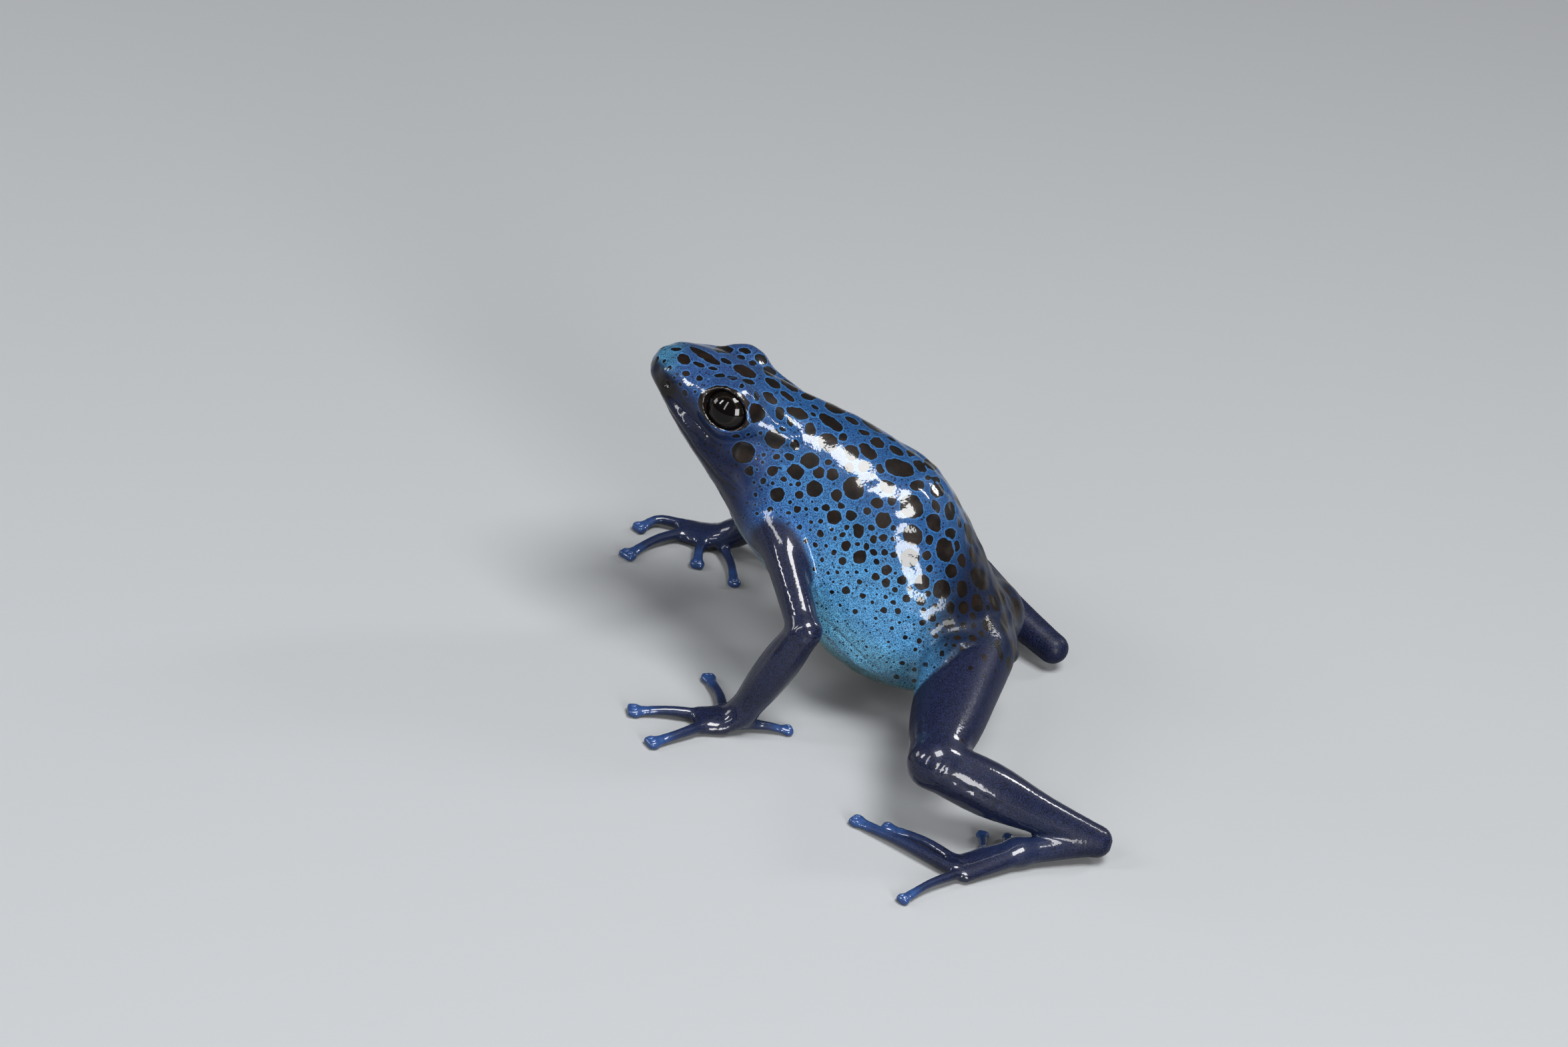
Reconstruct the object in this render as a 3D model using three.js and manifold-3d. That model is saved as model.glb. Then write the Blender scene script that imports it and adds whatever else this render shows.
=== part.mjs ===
import * as THREE from "three";
import { LoftGeometry } from "three/addons/geometries/LoftGeometry.js";
import { mergeVertices } from "three/addons/utils/BufferGeometryUtils.js";
import Module from "manifold-3d";

// Blue poison dart frog at life size, in millimetres. It sits on z = 0 with its head towards -X, its
// left side towards -Y, and x = 0 below its left palm. The whole is centred over its footprint at the end.

const wasm = await Module();
wasm.setup();

const gap = 0.3; // clearance between neighbouring solids
const reach = 80; // half the size of the blocks that cut the solids

const skinBlue = { color: "#3d7fd6", roughness: 0.32, metalness: 0 };
const limbNavy = { color: "#16234a", roughness: 0.36, metalness: 0 };
const digitBlue = { color: "#2c5f9e", roughness: 0.36, metalness: 0 };
const eyeBlack = { color: "#0d0a0a", roughness: 0.08, metalness: 0 };

// Trunk

const lean = { degrees: 5, height: 12 }; // the trunk leans to the right about a line at this height
const headTurn = { degrees: 5, from: 2, to: -4 }; // the head turns to the left between these x places
const trunkSides = 30;
const ringsPerStation = 3;

// Top of the cross-section, bottom of it, half its width, the share of its height at which it is
// widest, how square its upper half is, and how much that half narrows upwards.
const trunkStations = [
  { name: "snout tip", top: [-14.65, 25.4], low: [-14.6, 24.8], half: 0.5, widest: 0.5, square: 2, narrow: 0 },
  { name: "snout", top: [-14.3, 26.25], low: [-14.3, 24.1], half: 1.6, widest: 0.45, square: 2.1, narrow: 0.05 },
  { name: "nostrils", top: [-13.2, 26.7], low: [-13.2, 22.8], half: 2.8, widest: 0.3, square: 2.5, narrow: 0.06 },
  { name: "muzzle", top: [-11.1, 27.1], low: [-11.4, 20.9], half: 4.0, widest: 0.2, square: 2.7, narrow: 0.1 },
  { name: "eyes", top: [-8.3, 26.9], low: [-8.9, 18.6], half: 5.2, widest: 0.2, square: 2.7, narrow: 0.14 },
  { name: "jaw corner", top: [-4.8, 26.15], low: [-6.15, 15.75], half: 6.3, widest: 0.26, square: 2.5, narrow: 0.18 },
  { name: "neck", top: [-1.0, 25.1], low: [-3.8, 12.4], half: 6.6, widest: 0.34, square: 2.5, narrow: 0.12 },
  { name: "shoulders", top: [3.4, 24.2], low: [0.1, 9.0], half: 7.0, widest: 0.4, square: 2.6, narrow: 0.08 },
  { name: "ribs", top: [7.6, 22.9], low: [3.6, 5.8], half: 7.8, widest: 0.4, square: 2.6, narrow: 0.06 },
  { name: "belly", top: [10.9, 21.7], low: [7.2, 3.5], half: 8.2, widest: 0.4, square: 2.6, narrow: 0.06 },
  { name: "sacrum", top: [13.1, 19.9], low: [10.3, 2.6], half: 8.1, widest: 0.42, square: 2.5, narrow: 0.06 },
  { name: "loins", top: [15.2, 17.65], low: [13.2, 2.3], half: 7.5, widest: 0.44, square: 2.4, narrow: 0.05 },
  { name: "rump", top: [17.9, 14.2], low: [16.0, 2.8], half: 6.6, widest: 0.46, square: 2.3, narrow: 0.03 },
  { name: "thigh roots", top: [20.6, 10.95], low: [18.8, 4.0], half: 4.9, widest: 0.5, square: 2.2, narrow: 0 },
  { name: "vent", top: [21.9, 8.8], low: [21.5, 5.8], half: 2.4, widest: 0.5, square: 2, narrow: 0 },
  { name: "tail end", top: [22.5, 7.6], low: [22.5, 7.1], half: 0.5, widest: 0.5, square: 2, narrow: 0 },
];
const lowerSquare = 2.3; // how square the lower half of each cross-section is

const neckTop = [-1.6, 30];
const neckLow = [-4.8, 8];
const mouthLine = [[-16, 25.0], [-13.5, 23.6], [-11.0, 21.75], [-8.8, 20.1], [-6.7, 18.75], [-4.4, 17.8], [-2.9, 17.4]];
const lipRadius = 0.2;

const eye = { x: -6.75, side: 4.05, z: 24.3, radius: 2.0, lidRadius: 2.5, opening: [1.95, 1.55] };
const gaze = new THREE.Vector3(-0.2, -0.94, 0.28).normalize(); // of the left eye
const nostril = { x: -12.9, z: 25.0, radius: 0.36 };
const tympanum = { x: -5.0, z: 21.3, radius: 0.9, thickness: 0.5 };

// Limbs: places on the mid line of each limb, and half widths and half heights along each length

const armSides = 12;
const legSides = 14;
const digitSides = 6;
const roundEnd = [1.35, 0.95, 0.5]; // rings of a round end, as angles from the limb's last ring
const bluntEnd = [1];

const upperArmHalves = [[2.1, 2.1], [1.65, 1.7], [1.5, 1.5], [1.4, 1.35]];
const forearmHalves = [[1.45, 1.4], [1.75, 1.7], [1.7, 1.6], [1.3, 1.2]];
const palmHalves = [[1.2, 1.05], [1.75, 0.95], [1.75, 0.7]];
const thighHalves = [[3.95, 3.5], [3.55, 3.2], [3.1, 2.8], [2.15, 2.1]];
const shankHalves = [[2.2, 2.15], [2.45, 2.35], [1.75, 1.7], [1.4, 1.35]];
const tarsusHalves = [[1.35, 1.25], [1.25, 1.1], [1.3, 1.0]];
const soleHalves = [[1.3, 0.95], [1.45, 0.8], [1.6, 0.68]];

const digitRoot = 0.75; // height of a digit's mid line at its root
const fingerHalf = 0.52;
const toeHalf = 0.48;
const fingerDiscs = [0.55, 0.62, 0.8, 0.7]; // half widths of the discs, from the first finger
const toeDiscs = [0.42, 0.5, 0.62, 0.68, 0.5];
const discHeight = 0.38;

const arms = {
  left: {
    shoulder: [-0.1, -5.3, 15.3], elbow: [4.75, -12.4, 10.9], wrist: [1.35, -13.2, 2.0],
    palm: [0.0, -13.6, 0.85], knuckles: [-1.9, -14.3, 0.62],
    fingers: [
      [[1.6, -13.2], [3.6, -12.4], [5.3, -11.6]],
      [[-0.3, -12.6], [-1.2, -9.9], [-2.7, -7.3]],
      [[-1.9, -13.7], [-4.8, -14.6], [-7.3, -15.5]],
      [[-1.2, -14.9], [-2.9, -17.4], [-4.8, -19.4]],
    ],
  },
  right: {
    shoulder: [-0.4, 5.7, 14.4], elbow: [0.9, 12.9, 8.6], wrist: [-5.8, 15.3, 2.0],
    palm: [-8.2, 15.4, 0.85], knuckles: [-10.3, 15.6, 0.62],
    fingers: [
      [[-6.6, 14.6], [-5.2, 12.2], [-4.2, 9.6]],
      [[-8.2, 14.4], [-8.3, 12.7], [-8.0, 10.9]],
      [[-10.2, 14.9], [-12.3, 12.3], [-14.0, 9.1]],
      [[-10.9, 16.2], [-13.0, 15.8], [-14.2, 14.2]],
    ],
  },
};

const legs = {
  left: {
    hip: [18.4, -4.2, 8.5], knee: [18.5, -20.4, 7.1], heel: [33.4, -16.5, 1.8],
    tarsusEnd: [27.4, -20.5, 1.15], ball: [23.0, -24.9, 0.6],
    toes: [
      [[25.4, -22.0], [26.0, -19.8], [26.2, -17.8]],
      [[24.2, -23.2], [24.4, -20.9], [24.1, -18.6]],
      [[22.9, -24.2], [19.5, -22.5], [16.4, -21.7]],
      [[22.6, -25.3], [17.3, -23.4], [13.8, -22.0]],
      [[22.9, -26.0], [21.1, -28.4], [19.5, -31.0]],
    ],
  },
  right: {
    hip: [18.2, 4.6, 7.5], knee: [10.3, 18.8, 5.4], heel: [25.1, 11.7, 2.0],
    tarsusEnd: [18.7, 17.4, 1.15], ball: [14.0, 21.5, 0.6],
    toes: [
      [[15.9, 18.9], [15.5, 16.6], [14.8, 14.6]],
      [[14.9, 20.0], [13.6, 17.9], [12.2, 15.9]],
      [[13.9, 20.8], [10.4, 20.6], [6.8, 20.0]],
      [[13.6, 21.9], [8.6, 24.1], [4.3, 25.0]],
      [[13.9, 22.6], [12.6, 25.4], [11.4, 28.0]],
    ],
  },
};

// Solids

// A closed geometry as a solid that can be joined and cut.
function solid(geometry) {
  const bare = new THREE.BufferGeometry().copy(geometry);
  bare.deleteAttribute("normal");
  bare.deleteAttribute("uv");
  const merged = mergeVertices(bare, 1e-4);
  return new wasm.Manifold(
    new wasm.Mesh({
      numProp: 3,
      vertProperties: merged.attributes.position.array,
      triVerts: new Uint32Array(merged.index.array),
    }),
  );
}

// The largest closed surface of a solid, so that no scrap of a cut is left.
function largest(body) {
  return body.decompose().reduce((most, one) => (one.volume() > most.volume() ? one : most));
}

function meshOf(name, body, finish) {
  const { vertProperties, triVerts } = largest(body).getMesh();
  const geometry = new THREE.BufferGeometry();
  geometry.setAttribute("position", new THREE.BufferAttribute(vertProperties, 3));
  geometry.setIndex(new THREE.BufferAttribute(triVerts, 1));
  geometry.computeVertexNormals();
  const mesh = new THREE.Mesh(geometry, new THREE.MeshStandardMaterial(finish));
  mesh.name = name;
  return mesh;
}

// An ellipsoid at a place, turned so that its third radius points along a direction.
function ellipsoid([x, y, z], radii, across = 16, direction = new THREE.Vector3(0, 0, 1)) {
  const ball = new THREE.SphereGeometry(1, across, across / 2).rotateX(Math.PI / 2).scale(...radii);
  const turn = new THREE.Quaternion().setFromUnitVectors(new THREE.Vector3(0, 0, 1), direction);
  return ball.applyQuaternion(turn).translate(x, y, z);
}

// A block that goes right across the animal, whose side view is this outline in x and z.
function acrossBlock(outline, turn = new THREE.Matrix4()) {
  const shape = new THREE.Shape(outline.map(([x, z]) => new THREE.Vector2(x, z)));
  const block = new THREE.ExtrudeGeometry(shape, { depth: 2 * reach, bevelEnabled: false });
  return solid(block.rotateX(Math.PI / 2).translate(0, reach, 0).applyMatrix4(turn));
}

const underFloor = solid(new THREE.BoxGeometry(2 * reach, 2 * reach, reach).translate(0, 0, -reach / 2));

// A cubic through values at uneven knots.
function smooth(knots, values, at) {
  let i = 0;
  while (i < knots.length - 2 && at > knots[i + 1]) i++;
  const slope = (a, b) => (values[b] - values[a]) / (knots[b] - knots[a]);
  const tangent = (k) => {
    if (k === 0) return slope(0, 1);
    if (k === knots.length - 1) return slope(k - 1, k);
    const before = knots[k] - knots[k - 1];
    const after = knots[k + 1] - knots[k];
    return (slope(k - 1, k) * after + slope(k, k + 1) * before) / (before + after);
  };
  const step = knots[i + 1] - knots[i];
  const t = (at - knots[i]) / step;
  const start = (1 + 2 * t) * (1 - t) ** 2 * values[i] + t * (1 - t) ** 2 * step * tangent(i);
  return start + t * t * (3 - 2 * t) * values[i + 1] - t * t * (1 - t) * step * tangent(i + 1);
}

// Trunk

const trunkRows = trunkStations.map(({ top, low, half, widest, square, narrow }) => [
  ...top, ...low, half, widest, square, narrow,
]);
const trunkKnots = trunkRows.reduce((knots, row, i) => {
  const length = i ? Math.hypot(...row.slice(0, 5).map((v, k) => v - trunkRows[i - 1][k])) : 0;
  return [...knots, (i ? knots[i - 1] : 0) + length];
}, []);

// The head's turn to the left, of which a place nearer the shoulders gets a smaller share.
function headMatrix(share = 1) {
  const pivot = (headTurn.from + headTurn.to) / 2;
  return new THREE.Matrix4()
    .makeTranslation(pivot, 0, 0)
    .multiply(new THREE.Matrix4().makeRotationZ(THREE.MathUtils.degToRad(headTurn.degrees * share)))
    .multiply(new THREE.Matrix4().makeTranslation(-pivot, 0, 0));
}

function headTurned(point) {
  return point.applyMatrix4(headMatrix(THREE.MathUtils.smoothstep(-point.x, -headTurn.from, -headTurn.to)));
}

// A point of the trunk with its head straight: how far along it, the angle round it from its right
// side over its back, and how far outside its skin.
function trunkPoint(at, angle, grow = 0) {
  const column = (k) => smooth(trunkKnots, trunkRows.map((row) => row[k]), at);
  const [topX, topZ, lowX, lowZ, half, widest, square, narrow] = trunkRows[0].map((_, k) => column(k));
  const height = Math.hypot(topX - lowX, topZ - lowZ);
  const up = [(topX - lowX) / height, (topZ - lowZ) / height];
  const sine = Math.sin(angle);
  const power = 2 / (sine > 0 ? square : lowerSquare);
  const rise = Math.abs(sine) ** power;
  const level = widest * height + rise * (sine > 0 ? (1 - widest) * height + grow : -widest * height - grow);
  const wide = Math.sign(Math.cos(angle)) * Math.abs(Math.cos(angle)) ** power;
  const side = wide * (half + grow) * (1 - (sine > 0 ? narrow * rise : 0));
  return new THREE.Vector3(lowX + up[0] * level, side, lowZ + up[1] * level);
}

function trunkGeometry(grow = 0) {
  const sections = [];
  for (let i = 0; i < trunkKnots.length - 1; i++) {
    const last = i === trunkKnots.length - 2;
    for (let k = 0; k < ringsPerStation + (last ? 1 : 0); k++) {
      const at = THREE.MathUtils.lerp(trunkKnots[i], trunkKnots[i + 1], k / ringsPerStation);
      sections.push(
        Array.from({ length: trunkSides }, (_, j) =>
          headTurned(trunkPoint(at, (2 * Math.PI * j) / trunkSides, grow)),
        ),
      );
    }
  }
  const axis = new THREE.Vector3(grow, 0, 0); // the two ends stand out by the growth too
  sections[0].forEach((p) => p.sub(axis));
  sections.at(-1).forEach((p) => p.add(axis));
  return new LoftGeometry(sections, { capStart: true, capEnd: true });
}

// The point of the trunk's right side that a side view shows at x and z.
function flank(x, z) {
  let centre = [trunkKnots.at(-1) / 2, 0];
  let window = [trunkKnots.at(-1) / 2, Math.PI / 2];
  const miss = (trial) => {
    const p = trunkPoint(...trial);
    return Math.hypot(p.x - x, p.z - z);
  };
  for (let round = 0; round < 12; round++) {
    let best = centre;
    for (let i = -6; i <= 6; i++)
      for (let j = -6; j <= 6; j++) {
        const at = THREE.MathUtils.clamp(centre[0] + (window[0] * i) / 6, 0, trunkKnots.at(-1));
        const angle = THREE.MathUtils.clamp(centre[1] + (window[1] * j) / 6, -Math.PI / 2, Math.PI / 2);
        if (miss([at, angle]) < miss(best)) best = [at, angle];
      }
    centre = best;
    window = window.map((w) => w / 2);
  }
  return trunkPoint(...centre);
}

const leanTurn = new THREE.Matrix4()
  .makeTranslation(0, 0, lean.height)
  .multiply(new THREE.Matrix4().makeRotationX(THREE.MathUtils.degToRad(-lean.degrees)))
  .multiply(new THREE.Matrix4().makeTranslation(0, 0, -lean.height));

function buildTrunk() {
  const group = new THREE.Group();
  group.applyMatrix4(leanTurn);

  const whole = solid(trunkGeometry());
  const half = gap / 2;
  const beforeNeck = (shift) =>
    acrossBlock([[-reach, neckLow[1]], [neckLow[0] + shift, neckLow[1]], [neckTop[0] + shift, neckTop[1]], [-reach, neckTop[1]]]);
  const [cornerX, cornerZ] = mouthLine.at(-1);
  const underMouth = (shift) =>
    acrossBlock(
      [
        ...mouthLine.map(([x, z]) => [x, z + shift]),
        [cornerX + 4, cornerZ + shift],
        [cornerX + 4, 0],
        [-reach, 0],
        [-reach, mouthLine[0][1] + shift],
      ],
      headMatrix(),
    );

  // Lips: a soft roll along the mouth line, above and below its cut
  const lip = (shift) => {
    const right = mouthLine.slice(1, -1).map(([x, z]) => flank(x, z + shift));
    const left = right.toReversed().map((p) => new THREE.Vector3(p.x, -p.y, p.z));
    const path = new THREE.CatmullRomCurve3([...left, ...right].map(headTurned));
    const ring = new THREE.Shape().absarc(0, 0, lipRadius, 0, 2 * Math.PI);
    return solid(new THREE.ExtrudeGeometry(ring, { steps: 24, curveSegments: 3, extrudePath: path }));
  };

  const nodes = [];
  const lipShift = half + lipRadius * 0.6;
  let front = whole.intersect(beforeNeck(-half)).add(lip(lipShift)).add(lip(-lipShift));
  for (const [name, side] of [["left", -1], ["right", 1]]) {
    const onHead = (geometry) => solid(geometry.applyMatrix4(headMatrix()));
    const look = new THREE.Vector3(gaze.x, -side * gaze.y, gaze.z);
    const centre = [eye.x, side * eye.side, eye.z];
    const ball = (radius, across) => onHead(ellipsoid(centre, [radius, radius, radius], across));
    const opening = new THREE.CylinderGeometry(eye.opening[0], eye.opening[0], 6, 18)
      .scale(1, 1, eye.opening[1] / eye.opening[0])
      .rotateX(Math.PI / 2)
      .translate(0, 0, 3);
    opening.applyMatrix4(new THREE.Matrix4().lookAt(look, new THREE.Vector3(), new THREE.Vector3(0, 0, 1)));
    front = front
      .add(ball(eye.lidRadius, 18))
      .subtract(ball(eye.radius + gap, 16))
      .subtract(onHead(opening.translate(...centre)));
    nodes.push(["eye_" + name, ball(eye.radius, 16), eyeBlack]);

    const pit = [nostril.x, side * flank(nostril.x, nostril.z).y, nostril.z];
    front = front.subtract(onHead(ellipsoid(pit, Array(3).fill(nostril.radius), 10)));

    const { radius, thickness } = tympanum;
    const face = flank(tympanum.x, tympanum.z).y;
    const drum = (grow) =>
      onHead(
        new THREE.CylinderGeometry(radius + grow, radius + grow, thickness + 2 * grow, 18)
          .translate(tympanum.x, side * (face - thickness / 2), tympanum.z),
      );
    front = front.subtract(drum(gap));
    nodes.push(["tympanum_" + name, drum(0), skinBlue]);
  }
  nodes.push(["head", front.subtract(underMouth(half)), skinBlue]);
  nodes.push(["lower_jaw", front.intersect(underMouth(-half)), skinBlue]);
  nodes.push(["torso", whole.subtract(beforeNeck(half)), skinBlue]);
  nodes.forEach(([name, body, finish]) => group.add(meshOf(name, body, finish)));
  return group;
}

// Limbs

// A rounded length of limb through some places, with half widths and half heights spread along it.
function length(places, halves, { sides = armSides, steps = 8, grow = 0, ends = roundEnd } = {}) {
  const path = new THREE.CatmullRomCurve3(places.map((p) => new THREE.Vector3(...p)));
  const at = (k, t) => {
    const f = t * (halves.length - 1);
    return smooth(halves.map((_, i) => i), halves.map((pair) => pair[k]), f) + grow;
  };
  const ring = (t, scale, shift) => {
    const along = path.getTangentAt(t);
    const across = new THREE.Vector3(0, 0, 1).cross(along).normalize();
    const over = along.clone().cross(across);
    const centre = path.getPointAt(t).addScaledVector(along, shift);
    return Array.from({ length: sides }, (_, j) => {
      const angle = (2 * Math.PI * j) / sides;
      return centre
        .clone()
        .addScaledVector(across, Math.cos(angle) * at(0, t) * scale)
        .addScaledVector(over, Math.sin(angle) * at(1, t) * scale);
    });
  };
  const dome = (t, way) => ends.map((a) => ring(t, Math.cos(a), way * Math.sin(a) * at(1, t)));
  const middle = Array.from({ length: steps + 1 }, (_, i) => ring(i / steps, 1, 0));
  const sections = [...dome(0, -1), ...middle, ...dome(1, 1).toReversed()];
  return solid(new LoftGeometry(sections, { capStart: true, capEnd: true }));
}

// A finger or toe on the floor, with a flat disc under two small plates at its tip.
function digit(places, half, discHalf) {
  const heights = [digitRoot, digitRoot, discHeight];
  const spine = places.map(([x, y], i) => [x, y, heights[i]]);
  const tip = new THREE.Vector3(...spine[2]);
  const along = tip.clone().sub(new THREE.Vector3(...spine[1])).setZ(0).normalize();
  const side = new THREE.Vector3(-along.y, along.x, 0);
  const turned = (geometry) =>
    solid(geometry.rotateZ(Math.atan2(along.y, along.x)).translate(tip.x, tip.y, 0));
  const halves = [[half, half], [half * 0.92, half * 0.92], [half * 0.75, half * 0.7]];
  const disc = turned(ellipsoid([0, 0, discHeight], [discHalf * 1.12, discHalf, discHeight * 1.25], 8));
  const plates = [-1, 1].map((way) =>
    turned(
      ellipsoid([-0.1 * discHalf, 0.42 * way * discHalf, 1.75 * discHeight], [0.62 * discHalf, 0.36 * discHalf, 0.3], 5),
    ),
  );
  const body = length(spine, halves, { sides: digitSides, steps: 3, ends: bluntEnd });
  return plates.reduce((all, plate) => all.add(plate), body.add(disc));
}

// Each length is cut clear of the ones it grows from, and all are cut flat where they meet the floor.
function buildLimb(side, rows, parents) {
  const grown = [...parents];
  return rows.map(([name, make, finish, digits = false]) => {
    const body = grown.reduce((rest, parent) => rest.subtract(parent), make(0)).subtract(underFloor);
    if (!digits) grown.push(make(gap));
    return meshOf(name + "_" + side, body, finish);
  });
}

function buildArm(side, trunk) {
  const { shoulder, elbow, wrist, palm, knuckles, fingers } = arms[side];
  return buildLimb(
    side,
    [
      ["upper_arm", (grow) => length([shoulder, elbow], upperArmHalves, { grow }), limbNavy],
      ["forearm", (grow) => length([elbow, wrist], forearmHalves, { grow }), limbNavy],
      ["hand", (grow) => length([wrist, palm, knuckles], palmHalves, { grow, steps: 6 }), limbNavy],
      ...fingers.map((places, i) => [
        "finger_" + (i + 1), () => digit(places, fingerHalf, fingerDiscs[i]), digitBlue, true,
      ]),
    ],
    [trunk],
  );
}

function buildLeg(side, trunk) {
  const { hip, knee, heel, tarsusEnd, ball, toes } = legs[side];
  const sides = legSides;
  return buildLimb(
    side,
    [
      ["thigh", (grow) => length([hip, knee], thighHalves, { grow, sides, steps: 9 }), limbNavy],
      ["shank", (grow) => length([knee, heel], shankHalves, { grow, sides, steps: 9 }), limbNavy],
      ["tarsus", (grow) => length([heel, tarsusEnd], tarsusHalves, { grow }), limbNavy],
      ["foot", (grow) => length([tarsusEnd, ball], soleHalves, { grow, steps: 6 }), limbNavy],
      ...toes.map((places, i) => ["toe_" + (i + 1), () => digit(places, toeHalf, toeDiscs[i]), digitBlue, true]),
    ],
    [trunk],
  );
}

const frog = new THREE.Group();
frog.add(buildTrunk());
const trunkSpace = solid(trunkGeometry(gap).applyMatrix4(leanTurn));
for (const side of ["left", "right"]) frog.add(...buildArm(side, trunkSpace), ...buildLeg(side, trunkSpace));

const box = new THREE.Box3().setFromObject(frog, true);
frog.position.set(-(box.min.x + box.max.x) / 2, -(box.min.y + box.max.y) / 2, -box.min.z);

const part = new THREE.Group();
part.name = "blue_poison_dart_frog";
part.add(frog);
export default part;
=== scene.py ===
import math

import bmesh
import bpy
import numpy as np
import openvdb as vdb
from mathutils import Matrix, Vector
from mathutils.bvhtree import BVHTree
from mathutils.kdtree import KDTree


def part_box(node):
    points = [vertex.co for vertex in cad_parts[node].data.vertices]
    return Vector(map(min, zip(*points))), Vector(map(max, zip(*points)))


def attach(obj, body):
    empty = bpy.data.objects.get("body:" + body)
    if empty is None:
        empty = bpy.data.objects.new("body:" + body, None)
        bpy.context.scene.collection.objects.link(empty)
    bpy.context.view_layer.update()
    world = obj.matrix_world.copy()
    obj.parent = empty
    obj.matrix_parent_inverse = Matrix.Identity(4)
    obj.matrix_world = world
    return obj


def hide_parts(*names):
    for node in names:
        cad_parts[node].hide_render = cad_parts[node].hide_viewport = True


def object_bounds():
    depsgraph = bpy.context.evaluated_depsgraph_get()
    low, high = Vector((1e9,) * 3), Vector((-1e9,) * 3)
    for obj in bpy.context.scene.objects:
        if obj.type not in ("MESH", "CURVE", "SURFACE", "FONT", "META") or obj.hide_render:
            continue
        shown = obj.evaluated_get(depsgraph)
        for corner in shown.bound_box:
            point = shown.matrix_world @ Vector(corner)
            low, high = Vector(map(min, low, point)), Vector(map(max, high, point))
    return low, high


# Blue poison dart frog. Sizes are in millimetres, with x = 0 below its left palm, y = 0 on its mid
# line, its head towards -x and its left side towards -y. toFrame() takes them to the frame, in metres.

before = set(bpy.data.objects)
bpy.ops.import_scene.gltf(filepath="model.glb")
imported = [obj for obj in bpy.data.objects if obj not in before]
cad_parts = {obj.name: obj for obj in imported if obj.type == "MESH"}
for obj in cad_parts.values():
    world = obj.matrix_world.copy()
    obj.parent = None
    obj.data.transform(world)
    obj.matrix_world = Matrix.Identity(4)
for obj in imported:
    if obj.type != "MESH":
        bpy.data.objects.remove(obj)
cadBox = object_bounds()
millimetre = 0.001
tiny = 1e-6  # keeps a division safe
steep = 0.99  # a direction that rises more than this counts as upright
print("frame loaded")


def newObject(name, data):
    made = bpy.data.objects.new(name, data)
    bpy.context.scene.collection.objects.link(made)
    return made


def treeOf(points):
    tree = KDTree(len(points))
    for i, p in enumerate(points):
        tree.insert(p, i)
    tree.balance()
    return tree


# Trunk

trunk = {
    "leanDegrees": 5, "leanHeight": 12,  # it leans to its right about a line at this height
    "turnDegrees": 5, "turnFrom": 2, "turnTo": -4,  # the head turns left between these x places
    "lowerSquare": 2.3,
    "sides": 120, "ringsPerStation": 10,
    # Top (x, z), bottom (x, z), half width, share of the height at the widest, squareness and
    # narrowing of the upper half
    "stations": {
        "snout tip": ((-14.65, 25.4), (-14.6, 24.8), 0.5, 0.5, 2, 0),
        "snout": ((-14.3, 26.25), (-14.3, 24.1), 1.6, 0.45, 2.1, 0.05),
        "nostrils": ((-13.2, 26.7), (-13.2, 22.8), 2.8, 0.3, 2.5, 0.06),
        "muzzle": ((-11.1, 27.1), (-11.4, 20.9), 4.0, 0.2, 2.7, 0.1),
        "eyes": ((-8.3, 26.9), (-8.9, 18.6), 5.2, 0.2, 2.7, 0.14),
        "jaw corner": ((-4.8, 26.15), (-6.15, 15.75), 6.3, 0.26, 2.5, 0.18),
        "neck": ((-1.0, 25.1), (-3.8, 12.4), 6.6, 0.34, 2.5, 0.12),
        "shoulders": ((3.4, 24.2), (0.1, 9.0), 7.0, 0.4, 2.6, 0.08),
        "ribs": ((7.6, 22.9), (3.6, 5.8), 7.8, 0.4, 2.6, 0.06),
        "belly": ((10.9, 21.7), (7.2, 3.5), 8.2, 0.4, 2.6, 0.06),
        "sacrum": ((13.1, 19.9), (10.3, 2.6), 8.1, 0.42, 2.5, 0.06),
        "loins": ((15.2, 17.65), (13.2, 2.3), 7.5, 0.44, 2.4, 0.05),
        "rump": ((17.9, 14.2), (16.0, 2.8), 6.6, 0.46, 2.3, 0.03),
        "thigh roots": ((20.6, 10.95), (18.8, 4.0), 4.9, 0.5, 2.2, 0),
        "vent": ((21.9, 8.8), (21.5, 5.8), 2.4, 0.5, 2, 0),
        "tail end": ((22.5, 7.6), (22.5, 7.1), 0.5, 0.5, 2, 0),
    },
}
eye = {
    "x": -6.75, "side": 4.05, "z": 24.3, "forward": 0.3, "radius": 2.2, "lidRadius": 2.4,
    "opening": (2.12, 1.62, 1.9), "gaze": (-0.2, 0.92, 0.34),  # the gaze of the right eye
    "tiltDegrees": 18, "lidBlend": 0.8, "rimBlend": 0.1, "slit": 0.02,
    # Ridges that run from the eye to the snout and to the shoulder, with their half widths
    "ridges": (
        ((-12.6, 2.2, 25.3), ((2.2, 2.2), (1.1, 1.1))),
        ((-1.5, 4.6, 23.2), ((2.1, 2.1), (0.55, 0.55))),
    ),
    "ridgeBlend": 0.8,
    "socketWithin": 0.6,  # the socket is cut no further than this from the opening
    "segments": (64, 40),  # of the eyeball, round it and from pole to pole
}


def unit(v):
    return np.asarray(v, float) / np.linalg.norm(v)


def share(value, low, high):  # 0 below low, 1 above high, smooth between
    t = np.clip((value - low) / (high - low), 0, 1)
    return t * t * (3 - 2 * t)


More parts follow.
